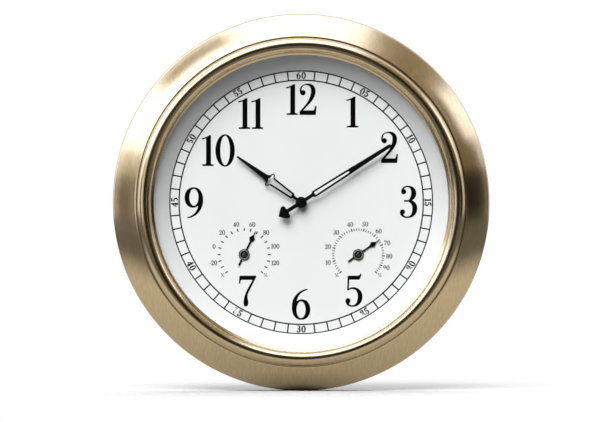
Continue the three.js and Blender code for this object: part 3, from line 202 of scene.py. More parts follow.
def lacquer(name, colour, roughness):
    """Smooth lacquer on metal, with a slight unevenness."""
    look = Look(name, colour, roughness)
    look.set("Specular IOR Level", 0.15)
    look.vary_colour(look.noise(12.0, 3.0), 0.8, 1.3)
    look.vary_roughness(look.noise(2.0, 4.0), roughness - 0.05, roughness + 0.08)
    look.bump(look.noise(1.2, 3.0), 0.004)
    return look.material


def bare_metal(name, colour, roughness, stretch=(1, 1, 1)):
    """Plated or turned metal with fine marks along one direction and dull patches."""
    look = Look(name, colour, roughness, 1.0)
    look.vary_colour(look.noise(5.0, 4.0), 0.86, 1.08)
    look.vary_roughness(look.noise(0.5, 4.0, stretch), roughness - 0.08, roughness + 0.12)
    look.bump(look.noise(0.3, 3.0, stretch), 0.006)
    return look.material


def painted_dial():
    """The dial: off-white satin paint on sheet metal."""
    look = Look("dial_face", (0.86, 0.86, 0.855), 0.55)
    look.vary_colour(look.noise(60.0, 3.0), 0.985, 1.01)
    look.vary_roughness(look.noise(3.0, 4.0), 0.48, 0.62)
    look.bump(look.noise(0.4, 3.0), 0.003)
    return look.material


def printed_ink():
    """Dull black ink."""
    look = Look("printed_ink", (0.0015, 0.0015, 0.0015), 0.75)
    look.set("Specular IOR Level", 0.02)
    look.vary_colour(look.noise(1.5, 4.0), 0.6, 1.6)
    look.vary_roughness(look.noise(0.8, 3.0), 0.65, 0.85)
    return look.material


def window_glass():
    """Flat glass: clear, with a mirror's share at its face and a breath of dust."""
    look = Look("clear_glass", (0.98, 0.99, 0.99), 0.02)
    clear = look.node("ShaderNodeBsdfTransparent", {"Color": (0.985, 0.992, 0.99, 1)})
    dust = look.ranged(look.noise(25.0, 4.0), 0.01, 0.05)
    shine = look.node("ShaderNodeBsdfAnisotropic", {"Roughness": dust})
    fresnel = look.node("ShaderNodeFresnel", {"IOR": 1.45})
    inside = look.node("ShaderNodeNewGeometry").outputs["Backfacing"]
    outside = look.node("ShaderNodeMath", {0: 1.0, 1: inside}, operation="SUBTRACT")
    factors = {0: fresnel.outputs["Fac"], 1: outside.outputs["Value"]}
    share = look.node("ShaderNodeMath", factors, operation="MULTIPLY")
    parts = {0: share.outputs["Value"], 1: clear.outputs["BSDF"], 2: shine.outputs["BSDF"]}
    blend = look.node("ShaderNodeMixShader", parts)
    look.tree.nodes.remove(look.shader)
    give(look.tree.nodes["Material Output"].inputs["Surface"], blend.outputs["Shader"])
    return look.material


def copper_winding(along):
    """Enamelled copper wire, its turns side by side along an axis of the clock's frame."""
    look = Look(f"copper_wire_{'xyz'[along]}", (0.52, 0.19, 0.07), 0.35, 0.9)
    radians_per_mm = 2.2
    texture_radians = 20  # in one unit of the texture
    scale = radians_per_mm / MM / texture_radians
    inputs = {"Vector": look.place, "Scale": scale, "Distortion": 0.4}
    turns = look.node("ShaderNodeTexWave", inputs, wave_type="BANDS", bands_direction="XYZ"[along])
    look.vary_colour(look.noise(2.0, 3.0), 0.75, 1.15)
    look.vary_roughness(look.noise(1.0, 3.0), 0.28, 0.45)
    look.bump(turns.outputs["Fac"], 0.06)
    return look.material


def laminated_board():
    """Green solder mask over copper tracks that show as slightly lighter strips."""
    look = Look("circuit_board", (0.02, 0.13, 0.055), 0.38)
    tracks = look.node("ShaderNodeTexBrick", {
        "Vector": look.place, "Scale": 160.0, "Mortar Size": 0.03, "Brick Width": 0.9,
        "Color1": (0.02, 0.13, 0.055, 1), "Color2": (0.018, 0.11, 0.05, 1), "Mortar": (0.05, 0.22, 0.1, 1),
    })
    look.set("Base Color", tracks.outputs["Color"])
    look.vary_roughness(look.noise(2.0, 3.0), 0.3, 0.45)
    look.bump(look.noise(0.6, 3.0), 0.01)
    return look.material


def cell_sleeve():
    """The cell: a printed sleeve with a plain band, and bare steel at both ends."""
    look = Look("cell_sleeve", (0.02, 0.1, 0.12), 0.3)
    low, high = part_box("battery_cell")
    across = look.node("ShaderNodeSeparateXYZ", {"Vector": look.place})
    share = look.ranged(across.outputs["X"], 0, 1, low.x, high.x)
    sleeve_start, band_start, band_end, sleeve_end = 0.012, 0.62, 0.65, 0.965
    steel, sleeve, band = (0.62, 0.62, 0.61, 1), (0.02, 0.09, 0.11, 1), (0.66, 0.64, 0.58, 1)
    look.set("Base Color", look.stepped(share, [
        (0, steel), (sleeve_start, sleeve), (band_start, band), (band_end, sleeve), (sleeve_end, steel),
    ]))
    metal, plain = (1, 1, 1, 1), (0, 0, 0, 1)
    plating = [(0, metal), (sleeve_start, plain), (sleeve_end, metal)]
    look.set("Metallic", look.stepped(share, plating))
    look.vary_roughness(look.noise(1.5, 4.0), 0.22, 0.36)
    look.bump(look.noise(3.0, 2.0), 0.01)
    return look.material


CHAMPAGNE = champagne()
GLASS = window_glass()
DIAL_PAINT = painted_dial()
PRINT = printed_ink()
RING_WHITE = ring_white()
BLACK_PLASTIC = moulded("black_plastic", (0.024, 0.024, 0.026), 0.5, 1.0, 0.07)
GREY_PLASTIC = moulded("grey_plastic", (0.085, 0.09, 0.095), 0.48, 0.6, 0.03)
NATURAL_PLASTIC = moulded("natural_plastic", (0.78, 0.74, 0.64), 0.4, 0.3, 0.006)
RED_PLASTIC = moulded("red_plastic", (0.42, 0.03, 0.02), 0.4, 0.3, 0.006)
RUBBER = moulded("black_rubber", (0.02, 0.02, 0.02), 0.8, 0.5, 0.02)
BLACK_LACQUER = lacquer("black_hand", (0.002, 0.002, 0.002), 0.3)
STEEL = bare_metal("zinc_steel", (0.62, 0.63, 0.64), 0.32, (1, 1, 6))
PEWTER = bare_metal("pewter", (0.5, 0.49, 0.43), 0.45)
BRONZE = bare_metal("dark_bronze", (0.08, 0.068, 0.04), 0.36)
BRASS = bare_metal("brass", (0.62, 0.42, 0.13), 0.3)
DARK_STEEL = bare_metal("dark_steel", (0.18, 0.175, 0.17), 0.5)
FERRITE = moulded("ferrite", (0.035, 0.034, 0.034), 0.6, 0.4, 0.02)
BOARD = laminated_board()
CELL = cell_sleeve()


# Shapes

def welded(mesh):
    """The mesh with its doubled points joined and its faces turned outwards."""
    same_point = 0.002  # how far apart doubled points may lie
    shape = bmesh.new()
    shape.from_mesh(mesh)
    bmesh.ops.remove_doubles(shape, verts=shape.verts, dist=same_point)
    bmesh.ops.recalc_face_normals(shape, faces=shape.faces)
    shape.to_mesh(mesh)
    shape.free()
    return mesh


def finish_mesh(name, mesh, look, body, replaces, crease=35):
    """Turns a closed mesh drawn in the clock's frame into a piece that rides on its body."""
    welded(mesh).transform(CLOCK)
    mesh.shade_smooth()
    mesh.set_sharp_from_angle(angle=math.radians(crease))
    mesh.materials.clear()
    mesh.materials.append(look)
    made = bpy.data.objects.new(name, mesh)
    bpy.context.scene.collection.objects.link(made)
    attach(made, body)
    if replaces:
        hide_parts(*replaces)
    return made


def mesh_of(shape, name):
    """The mesh of a finished shape."""
    mesh = bpy.data.meshes.new(name)
    shape.to_mesh(mesh)
    shape.free()
    return mesh


def turned(profile, sides, closed=False, axis=(0, 0)):
    """A mesh of (radius, height) points revolved round z at a place on the dial."""
    shape = bmesh.new()
    rings = []
    for radius, height in profile:
        if radius == 0:
            rings.append([shape.verts.new((*axis, height))] * sides)
            continue
        turns = [2 * math.pi * i / sides for i in range(sides)]
        rings.append([
            shape.verts.new((axis[0] + radius * math.cos(a), axis[1] + radius * math.sin(a), height))
            for a in turns
        ])
    if closed:
        rings.append(rings[0])
    for lower, upper in zip(rings, rings[1:]):
        for i in range(sides):
            j = (i + 1) % sides
            corners = list(dict.fromkeys((lower[i], lower[j], upper[j], upper[i])))
            if len(corners) > 2:
                shape.faces.new(corners)
    return mesh_of(shape, "turned")


def polar(angle, radius, centre=(0, 0)):
    """The point at an angle in degrees and a distance from a centre."""
    turn = math.radians(angle)
    return (centre[0] + radius * math.cos(turn), centre[1] + radius * math.sin(turn))


def arc(centre, radius, start, end, steps):
    """Points on an arc, its angles in degrees."""
    return [polar(start + (end - start) * i / steps, radius, centre) for i in range(steps + 1)]


def oval(x, y, half_width, half_height, steps=40):
    return [(x + half_width * math.cos(a), y + half_height * math.sin(a))
            for a in (2 * math.pi * i / steps for i in range(steps))]


def trace(steps, pieces=8):
    """Points of an outline. A step is the end of a straight line, or the controls and end of a curve."""
    points = []
    for step in steps:
        controls = [Vector(step[i:i + 2]) for i in range(0, len(step), 2)]
        if len(controls) == 1:
            points.append(controls[0])
            continue
        controls.insert(0, points[-1])
        for i in range(1, pieces + 1):
            level = controls
            while len(level) > 1:
                level = [a.lerp(b, i / pieces) for a, b in zip(level, level[1:])]
            points.append(level[0])
    return [tuple(point) for point in points]


def sheet(contours, back, front, bevel=0.0, swell=0.0):
    """A mesh of flat material between two heights: closed outlines, those inside others being holes.
    A swell makes the material broader on every side of its outline."""
    curve = bpy.data.curves.new("sheet", "CURVE")
    curve.dimensions = "2D"
    curve.fill_mode = "BOTH"
    curve.extrude = (front - back) / 2 - bevel
    curve.bevel_depth = bevel
    curve.bevel_resolution = 1
    curve.offset = swell - bevel
    for contour in contours:
        spline = curve.splines.new("POLY")
        spline.points.add(len(contour) - 1)
        for point, (x, y) in zip(spline.points, contour):
            point.co = (x, y, 0, 1)
        spline.use_cyclic_u = True
    holder = bpy.data.objects.new("sheet", curve)
    mesh = bpy.data.meshes.new_from_object(holder)
    bpy.data.objects.remove(holder)
    bpy.data.curves.remove(curve)
    mesh.transform(Matrix.Translation((0, 0, (front + back) / 2)))
    return mesh


def rounded(left, right, bottom, top, radius):
    """The outline of a rectangle with round corners."""
    corners = ((right, top, 0), (left, top, 90), (left, bottom, 180), (right, bottom, 270))
    points = []
    for x, y, start in corners:
        inside = (x + (radius if x == left else -radius), y + (radius if y == bottom else -radius))
        points += arc(inside, radius, start, start + 90, 6)
    return points


def joined(meshes):
    """One mesh of several that don't touch."""
    shape = bmesh.new()
    for mesh in meshes:
        shape.from_mesh(mesh)
    return mesh_of(shape, "joined")


def soften(piece, width):
    """Rounds the piece's sharp edges."""
    modifier = piece.modifiers.new("soft_edges", "BEVEL")
    modifier.width = width
    modifier.segments = 2
    modifier.limit_method = "ANGLE"
    modifier.angle_limit = math.radians(50)


def flatten(piece):
    """Keeps large flat faces evenly shaded beside their rounded edges."""
    modifier = piece.modifiers.new("even_faces", "WEIGHTED_NORMAL")
    modifier.keep_sharp = True


def carved(mesh, cutters, soft=0.0):
    """The mesh with the cutters, which don't touch each other, taken out of it and its edges rounded."""
    scene = bpy.context.scene
    body = bpy.data.objects.new("body", welded(mesh))
    tool = bpy.data.objects.new("tool", welded(joined(cutters)))
    scene.collection.objects.link(body)
    scene.collection.objects.link(tool)
    modifier = body.modifiers.new("cut", "BOOLEAN")
    modifier.operation = "DIFFERENCE"
    modifier.solver = "EXACT"
    modifier.object = tool
    if soft:
        soften(body, soft)
    made = bpy.data.meshes.new_from_object(body.evaluated_get(bpy.context.evaluated_depsgraph_get()))
    for thing in (body, tool):
        bpy.data.objects.remove(thing)
    return made


def block(left, right, bottom, top, low, high):
    """A mesh of a plain block."""
    return sheet([[(left, bottom), (right, bottom), (right, top), (left, top)]], low, high)


def spun(contours, angle, at=(0, 0)):
    """Outlines turned by an angle in degrees and then moved."""
    cos, sin = math.cos(math.radians(angle)), math.sin(math.radians(angle))
    return [[(at[0] + x * cos - y * sin, at[1] + x * sin + y * cos) for x, y in contour]
            for contour in contours]


# Frame, glass and dial ring

def build_frame():
    """Pressed from one sheet: rear flange, side, sloping band, bead, groove, roll and lip."""
    bead_base = ROLL_BASE - BEAD - 0.2
    bead_top = bead_base + 0.55
    band_top = bead_base - 0.3
    band_angle = 57.3  # from the wall plane to the band's normal
    crown = 0.55  # how far the sloping band bulges
    edge_radius, heel, chamfer, flange_inner = 4, 1.5, 0.25, 167.3
    edge = (FRAME_RADIUS - edge_radius, band_top - 15)
    inner_end = Vector((BAND_INNER, band_top))
    outer_end = Vector(arc(edge, edge_radius, band_angle, band_angle, 1)[0])
    along = inner_end - outer_end
    outward = Vector((along.y, -along.x)).normalized()
    steps = 14
    band = []
    for i in range(1, steps):
        share = i / steps
        point = outer_end + along * share + outward * crown * 4 * share * (1 - share)
        band.append(tuple(point))
    inside_roll = ROLL - FRAME_WALL
    foot = bead_base - FRAME_WALL
    profile = [
        (flange_inner, FLANGE_BACK),
        *arc((FRAME_RADIUS - heel, FLANGE_BACK + heel), heel, -90, 0, 6),
        *arc(edge, edge_radius, 0, band_angle, 12),
        *band,
        *trace([
            tuple(inner_end),
            (BEAD_CENTRE + 0.4, bead_top - 0.02, BEAD_CENTRE - 0.5, bead_top + 0.15),
            (BEAD_CENTRE - 0.9, bead_top + 0.21, BEAD_CENTRE - 1.2, bead_top + 0.11),
        ], 6),
        (BEAD_CENTRE - 1.5, bead_top + 0.02),
        (ROLL_CENTRE + ROLL, bead_top + 0.25),
        *arc((ROLL_CENTRE, ROLL_BASE), ROLL, 0, 174, 36),
        (OPENING + chamfer, LIP_FRONT),
        (OPENING, LIP_FRONT - chamfer),
        (OPENING, LIP_BACK),
        (ROLL_CENTRE - inside_roll, LIP_BACK),
        *arc((ROLL_CENTRE, ROLL_BASE), inside_roll, 180, 0, 12),
        (ROLL_CENTRE + inside_roll, foot),
        (BAND_INNER - 0.65, band_top - 1.01),
        *arc(edge, edge_radius - FRAME_WALL, band_angle, 0, 4),
        (FRAME_RADIUS - FRAME_WALL, FLANGE_BACK + FRAME_WALL),
        (flange_inner, FLANGE_BACK + FRAME_WALL),
    ]
    mesh = turned(profile, round_sides, closed=True)
    finish_mesh("pressed_frame", mesh, CHAMPAGNE, "case", ["frame"], 50)


def build_glass():
    radius, chamfer = 142.4, 0.3
    profile = [
        (0, GLASS_BACK), (radius - chamfer, GLASS_BACK), (radius, GLASS_BACK + chamfer),
        (radius, GLASS_FRONT - chamfer), (radius - chamfer, GLASS_FRONT), (0, GLASS_FRONT),
    ]
    mesh = turned(profile, round_sides // 2)
    finish_mesh("glass_pane", mesh, GLASS, "case", ["front_glass"])


def build_dial_ring():
    """The white cove between dial and glass, with the rim round the glass and the skirt behind."""
    foot = DIAL_FRONT + 0.3
    top = GLASS_BACK - 0.3
    rim_inner, rim_outer, rim_top = 142.8, 144.2, top + 2
    skirt_inner, skirt_outer, skirt_back = 146.4, 148.0, 2.3
    shelf = top - 1.5
    profile = [
        *trace([(DIAL_SHOWN, foot), (132.1, 27.4, OPENING, top)], 20),
        (rim_inner, top), (rim_inner, rim_top), (rim_outer, rim_top), (rim_outer, top),
        (skirt_outer, top), (skirt_outer, skirt_back), (skirt_inner, skirt_back), (skirt_inner, shelf),
        (OPENING + 0.9, shelf), (DIAL_SHOWN + 2.1, foot),
    ]
    mesh = turned(profile, round_sides, closed=True)
    finish_mesh("dial_cove", mesh, RING_WHITE, "case", ["dial_ring"])


# Numerals, in units of their height: outlines from the left edge and the baseline

SERIF_TOP = 0.062
FIGURES = {
    "0": (0.62, [oval(0.311, 0.5, 0.311, 0.525), oval(0.311, 0.5, 0.165, 0.49)]),
    "1": (0.357, [trace([
        (0, 0), (0.357, 0), (0.357, 0.04), (0.29, 0.04, 0.267, SERIF_TOP), (0.267, 1), (0.235, 1),
        (0.15, 0.94, 0.07, 0.915, -0.02, 0.90), (-0.01, 0.868), (0.06, 0.885, 0.122, 0.905),
        (0.122, SERIF_TOP), (0.10, 0.04, 0, 0.04),
    ])]),
    "2": (0.54, [trace([
        (0, 0), (0.517, 0), (0.54, 0.282), (0.502, 0.282), (0.492, 0.14, 0.44, 0.137), (0.10, 0.137),
        (0.30, 0.36, 0.511, 0.53, 0.511, 0.761), (0.511, 0.92, 0.42, 1.015, 0.273, 1.015),
        (0.12, 1.015, 0.004, 0.93, 0.004, 0.80), (0.004, 0.70, 0.045, 0.643, 0.103, 0.643),
        (0.15, 0.643, 0.181, 0.68, 0.181, 0.724), (0.181, 0.77, 0.146, 0.802, 0.103, 0.802),
        (0.05, 0.785), (0.047, 0.86, 0.07, 0.981, 0.207, 0.981),
        (0.31, 0.981, 0.376, 0.90, 0.376, 0.79), (0.376, 0.60, 0.28, 0.42, 0.15, 0.27), (0, 0.10),
    ])]),
    "3": (0.556, [trace([
        (0.079, 0.251), (0.036, 0.251, 0, 0.215, 0, 0.165), (0, 0.06, 0.10, -0.021, 0.226, -0.021),
        (0.43, -0.021, 0.556, 0.10, 0.556, 0.289), (0.556, 0.42, 0.49, 0.51, 0.372, 0.554),
        (0.47, 0.60, 0.523, 0.68, 0.523, 0.78), (0.523, 0.93, 0.42, 1.027, 0.247, 1.027),
        (0.13, 1.027, 0.045, 0.95, 0.042, 0.845), (0.04, 0.795, 0.07, 0.76, 0.117, 0.76),
        (0.16, 0.76, 0.194, 0.794, 0.194, 0.837), (0.194, 0.88, 0.16, 0.914, 0.117, 0.914),
        (0.10, 0.905), (0.13, 0.96, 0.18, 0.99, 0.25, 0.99), (0.335, 0.99, 0.372, 0.91, 0.372, 0.812),
        (0.372, 0.68, 0.33, 0.60, 0.28, 0.558), (0.138, 0.558), (0.138, 0.512), (0.28, 0.512),
        (0.36, 0.48, 0.408, 0.40, 0.408, 0.29), (0.408, 0.12, 0.35, 0.017, 0.236, 0.017),
        (0.17, 0.017, 0.12, 0.05, 0.095, 0.10), (0.135, 0.105, 0.156, 0.14, 0.156, 0.174),
        (0.156, 0.217, 0.122, 0.251, 0.079, 0.251),
    ])[:-1]]),
    "4": (0.62, [
        [(0.27, 0), (0.60, 0), (0.60, 0.04), (0.51, 0.045), (0.51, 0.24), (0.62, 0.24),
         (0.62, 0.285), (0.51, 0.285), (0.51, 1.0), (0.44, 1.0), (0, 0.27), (0, 0.24),
         (0.36, 0.24), (0.36, 0.045), (0.27, 0.04)],
        [(0.05, 0.285), (0.36, 0.285), (0.36, 0.82)],
    ]),
    "5": (0.544, [trace([
        (0.075, 0.996), (0.052, 0.56), (0.052, 0.535, 0.06, 0.527, 0.078, 0.527),
        (0.12, 0.55, 0.15, 0.571, 0.215, 0.571), (0.34, 0.571, 0.404, 0.48, 0.404, 0.325),
        (0.404, 0.14, 0.34, 0.026, 0.215, 0.026), (0.16, 0.026, 0.12, 0.05, 0.097, 0.088),
        (0.13, 0.11, 0.15, 0.14, 0.15, 0.18), (0.15, 0.23, 0.12, 0.259, 0.077, 0.259),
        (0.03, 0.259, 0, 0.225, 0, 0.175), (0, 0.07, 0.09, -0.013, 0.215, -0.013),
        (0.41, -0.013, 0.544, 0.12, 0.544, 0.316), (0.544, 0.50, 0.41, 0.619, 0.245, 0.619),
        (0.19, 0.619, 0.14, 0.60, 0.098, 0.575), (0.112, 0.876), (0.426, 0.876),
        (0.46, 0.90, 0.478, 0.94), (0.512, 1.045), (0.49, 1.07), (0.45, 0.996, 0.41, 0.996),
    ])]),
    "6": (0.599, [trace([
        (0.51, 0.965), (0.505, 0.995), (0.22, 0.955, 0.003, 0.72, 0.003, 0.41),
        (0.003, 0.15, 0.12, -0.012, 0.302, -0.012), (0.49, -0.012, 0.599, 0.13, 0.599, 0.325),
        (0.599, 0.52, 0.48, 0.649, 0.33, 0.649), (0.26, 0.649, 0.20, 0.62, 0.155, 0.575),
        (0.17, 0.75, 0.29, 0.92, 0.51, 0.965),
    ])[:-1], oval(0.302, 0.312, 0.155, 0.283)]),
    "7": (0.56, [trace([
        (0.027, 0.995), (0.004, 0.75), (0.038, 0.75), (0.045, 0.871, 0.085, 0.871), (0.457, 0.871),
        (0.38, 0.70, 0.158, 0.42, 0.158, 0.115), (0.158, 0.04, 0.185, 0, 0.229, 0),
        (0.275, 0, 0.302, 0.05, 0.302, 0.115), (0.302, 0.20, 0.262, 0.25, 0.275, 0.34),
        (0.285, 0.42, 0.31, 0.46, 0.345, 0.53), (0.56, 0.96), (0.56, 0.995),
    ])]),
    "8": (0.56, [trace([
        (0.28, -0.012), (0.45, -0.012, 0.56, 0.09, 0.56, 0.25), (0.56, 0.37, 0.50, 0.46, 0.40, 0.53),
        (0.49, 0.59, 0.53, 0.67, 0.53, 0.77), (0.53, 0.92, 0.43, 1.015, 0.285, 1.015),
        (0.14, 1.015, 0.03, 0.92, 0.03, 0.77), (0.03, 0.67, 0.07, 0.59, 0.15, 0.53),
        (0.05, 0.46, 0, 0.37, 0, 0.25), (0, 0.09, 0.11, -0.012, 0.28, -0.012),
    ])[:-1], oval(0.285, 0.775, 0.13, 0.205), oval(0.28, 0.26, 0.145, 0.24)]),
    "-": (0.4, [[(0.04, 0.38), (0.36, 0.38), (0.36, 0.46), (0.04, 0.46)]]),
}
six_width, six = FIGURES["6"]
FIGURES["9"] = (six_width, [[(six_width - x, 1 - y) for x, y in contour] for contour in six])


def lettered(text, height, at, space, turn=0.0):
    """The outlines of a number, centred on a point and turned by an angle in degrees.
    The space between its figures is a share of its height."""
    width = sum(FIGURES[figure][0] for figure in text) + space * (len(text) - 1)
    left = -width / 2
    contours = []
    for figure in text:
        advance, outline = FIGURES[figure]
        contours += [[((left + x) * height, (y - 0.5) * height) for x, y in contour]
                     for contour in outline]
        left += advance + space
    return spun(contours, turn, at)


def strip(start, end, width):
    """The outline of a straight line of ink."""
    a, b = Vector(start), Vector(end)
    across = (b - a).orthogonal().normalized() * width / 2
    return [tuple(a + across), tuple(b + across), tuple(b - across), tuple(a - across)]


def printed(name, contours, swell=0.0):
    """Ink on the dial."""
    mesh = sheet(contours, DIAL_FRONT + 0.005, DIAL_FRONT + INK, swell=swell)
    finish_mesh(name, mesh, PRINT, "case", [])


def spoke(angle, inner, outer, width, centre=(0, 0)):
    """A line of ink that points at a centre."""
    return strip(polar(angle, inner, centre), polar(angle, outer, centre), width)


def build_print():
    """The hour numerals, and the minute track with its numbers."""
    places = {
        1: (48.4, 85.2), 2: (83.3, 51.7), 3: (101.3, 0.3), 5: (49.8, -83.7), 6: (-0.2, -96.0),
        7: (-50.7, -83.7), 9: (-101.2, -0.7), 10: (-78.0, 48.9), 11: (-47.4, 83.8), 12: (0.3, 97.0),
    }
    numeral_height, number_height = 28.8, 5.9
    numerals = []
    for hour, at in places.items():
        numerals += lettered(str(hour), numeral_height, at, space=0.07)
    printed("hour_numerals", numerals, 0.22)

    inner, outer, line = 115.2, 124.0, 1.25
    for name, radius in (("minute_track_outer", outer), ("minute_track_inner", inner)):
        rims = [radius + side * line / 2 for side in (1, -1)]
        printed(name, [oval(0, 0, rim, rim, round_sides) for rim in rims])
    ticks = [
        spoke(90 - 6 * minute, inner + line / 2, outer - line / 2, line)
        for minute in range(60)
        if minute % 5
    ]
    printed("minute_ticks", ticks)
    middle = (inner + outer) / 2
    numbers = []
    for step in range(12):
        angle = 90 - 30 * step
        at = polar(angle, middle)
        upright = step <= 3 or step >= 9
        text = "60" if step == 0 else f"{5 * step:02d}"
        turn = angle - 90 if upright else angle + 90
        numbers += lettered(text, number_height, at, space=0.2, turn=turn)
    printed("minute_numbers", numbers, 0.3)


def build_scale(name, side, long_marks, short_marks, labels):
    """A gauge's printed scale: marks at angles in degrees, and labels outside them."""
    centre = (side * GAUGE_SPREAD, -GAUGE_DROP)
    long_mark, short_mark = (22.3, 25.0, 0.85), (22.5, 24.6, 0.5)  # inner end, outer end, width
    contours = [spoke(angle, *long_mark, centre) for angle in long_marks]
    contours += [spoke(angle, *short_mark, centre) for angle in short_marks]
    label_height, label_circle, wide_label_circle = 4.2, 29.4, 30.4
    for angle, text in labels:
        radius = label_circle if len(text) < 3 else wide_label_circle
        contours += lettered(text, label_height, polar(angle, radius, centre), space=0.1)
    printed(name, contours, 0.12)


def build_scales():
    """Both gauges' scales, with a small sign for the unit at each end of them."""
    degrees_marks = [225 - 15 * i for i in range(19)]
    degrees_labels = [(195 - 30 * i, str(-20 + 20 * i)) for i in range(8)]
    build_scale("thermometer_scale", -1, degrees_marks, [], degrees_labels)
    tens = (225, 195, 165, 135, 105, 77, 49, 22, -3, -25, -45)
    small = []
    for start, end in zip(tens, tens[1:]):
        parts = 5 if start - end > 27 else 4  # fewer where the tens crowd together
        small += [start + (end - start) * part / parts for part in range(1, parts)]
    labels = [(angle, str(10 * i)) for i, angle in enumerate(tens) if 0 < i < 10]
    build_scale("hygrometer_scale", 1, tens, small, labels)
    signs = []
    y = -68.7
    for x in (-74.2, -33.5, 33.5, 74.2):
        signs.append(strip((x - 1.0, y - 1.7), (x + 1.0, y + 1.7), 0.6))
        signs += [oval(x + side * 1.1, y - side * 1.1, 0.55, 0.65, 12) for side in (-1, 1)]
    printed("unit_signs", signs)


build_frame()
build_glass()
build_dial_ring()
build_print()
build_scales()


# Hands

def both_sides(upper):
    """A closed outline from its upper half, which starts or ends on the axis or runs beside it."""
    return upper + [(x, -y) for x, y in reversed(upper) if y]


def hour_outline():
    """Along x: a stem, a slotted body, a four-lobed star that is open inside, and a solid blade."""
    stem, start, end, half_start, half_end, border = 1.35, 9.4, 33.5, 2.9, 4.1, 1.7
    star, star_half, lobe, hollow, waist = 36.3, 5.0, 1.9, 0.75, 0.9
    blade, blade_half, length, tip = 41.5, 2.6, 74.5, 0.95
    upper = arc((length - tip, 0), tip, 0, 90, 6)
    upper += [(blade, blade_half)]
    upper = trace([*upper, (star + lobe, blade_half + waist, star + lobe, star_half)])
    upper += arc((star, star_half), lobe, 0, 180, 12)[1:]
    upper = trace([
        *upper, (end, half_end), (start, half_start), (start, stem, start - 1, stem), (HUB - 0.5, stem),
    ])
    slot = trace([(star + 2.2, 0), (star + hollow, waist, star + hollow, star_half)])
    slot += arc((star, star_half), hollow, 0, 180, 8)[1:]
    slot += [(end, half_end - border), (start + border, half_start - border)]
    return [both_sides(upper), both_sides(slot)]


def minute_outline():
    """Along x: a heart-shaped counterweight, a stem, a long slot and a solid end."""
    stem, start, half_start, slot_end, end_half, border = 1.65, 13.2, 3.2, 53.5, 2.65, 1.7
    length, tip, narrow = 100.4, 1.6, 0.8
    tail_stem, heart, heart_half, lobe, shoulder, belly, tail = 1.8, -17.6, 4.1, 2.3, -21.0, 4.7, -25.3
    upper = arc((length - tip, 0), tip, 0, 90, 6)
    upper = trace([
        *upper, (slot_end, end_half), (start + 0.6, half_start), (start, stem, start - 1.5, stem),
        (HUB - 0.5, stem), (HUB - 0.5, tail_stem), (heart + lobe + 0.5, tail_stem),
        (heart + lobe, tail_stem, heart + lobe, heart_half),
    ])
    upper += arc((heart, heart_half), lobe, 0, 135, 12)[1:]
    upper = trace([*upper, (shoulder, belly, tail, 0)])
    slot = arc((slot_end - narrow, 0), narrow, 0, 90, 6)
    slot += [(start + border + 0.3, half_start - border)]
    return [both_sides(upper), both_sides(slot)]


def build_hand(name, contours, back, angle, bore, node, body):
    """A stamped hand with softened edges, on a round hub."""
    front = back + 0.6
    blade = sheet(spun(contours, angle), back, front, 0.12)
    hub = turned([
        (bore, back - 0.2), (HUB - 0.2, back - 0.2), (HUB, back), (HUB, front - 0.05),
        (HUB - 0.15, front + 0.1), (bore, front + 0.1),
    ], 64, closed=True)
    finish_mesh(name, joined([blade, hub]), BLACK_LACQUER, body, [node])


def build_hand_cap():
    """The stepped round cap that holds the minute hand."""
    back, top, radius = 29.3, 31.6, 3.9
    profile = [
        (1.8, back), (radius - 0.15, back), (radius, back + 0.15), (radius, top - 1.25),
        *arc((radius - 0.3, top - 1.25), 0.3, 0, 90, 4)[1:],
        (radius - 1.0, top - 0.95), (radius - 1.1, top - 0.4),
        *arc((radius - 1.5, top - 0.4), 0.4, 0, 90, 5)[1:],
        (0, top), (0, back + 1.6), (1.8, back + 1.6),
    ]
    mesh = turned(profile, 64, closed=True)
    finish_mesh("hand_cap", mesh, BLACK_LACQUER, "minute_work", ["hand_nut"])


def pointer_outline():
    """A gauge's pointer along x: a stem with a diamond-shaped head, a needle tip and a plain tail."""
    stem, head, half, shoulder, neck, reach, tail = 0.8, 16.8, 2.6, 3.6, 0.42, 24.9, -11.6
    return both_sides(trace([
        (reach, 0.2), (head + shoulder, neck), (head + 2, 1.3, head + 0.6, half),
        (head - 0.6, half), (head - 2, 1.4, head - shoulder, stem), (tail, stem),
    ]))


def build_pointer(name, side, angle, node, body):
    """A pointer on a stepped hub with a pewter ring and a bronze cap."""
    centre = (side * GAUGE_SPREAD, -GAUGE_DROP)
    back = DIAL_FRONT + 0.6
    needle = sheet(spun([pointer_outline()], angle, centre), back, back + 0.5, 0.08)
    finish_mesh(name, needle, BLACK_LACQUER, body, [node])
    hub = turned([
        (1.1, back), (5.0, back), (5.2, back + 0.2), (5.2, back + 0.5), (5.05, back + 0.68),
        (4.5, back + 0.72), (4.4, back + 0.55), (3.6, back + 0.55), (3.45, back + 0.8),
        (3.2, back + 1.0), (2.6, back + 1.0), (2.4, back + 0.75), (1.1, back + 0.75),
    ], 56, closed=True, axis=centre)
    finish_mesh(f"{name}_hub", hub, BLACK_LACQUER, body, [])
    ring = turned(oval(4.0, back + 0.6, 0.42, 0.22, 12), 56, closed=True, axis=centre)
    finish_mesh(f"{name}_ring", ring, PEWTER, body, [])
    cap = turned([
        (0, back + 0.7), (2.3, back + 0.7), (2.3, back + 0.9),
        *arc((0, back - 0.6), 2.75, 33, 90, 6)[1:-1], (0, back + 2.15),
    ], 56, axis=centre)
    finish_mesh(f"{name}_cap", cap, BRONZE, body, [])


build_hand("hour_hand_plate", hour_outline(), 25.8, 144.5, 3.05, "hour_hand", "hour_work")
build_hand("minute_hand_plate", minute_outline(), 28.2, 32.5, 1.8, "minute_hand", "minute_work")
build_hand_cap()
build_pointer("thermometer_needle", -1, 64, "thermometer_pointer", "thermometer_needle")
build_pointer("hygrometer_needle", 1, 35, "hygrometer_pointer", "hygrometer_needle")


# Back

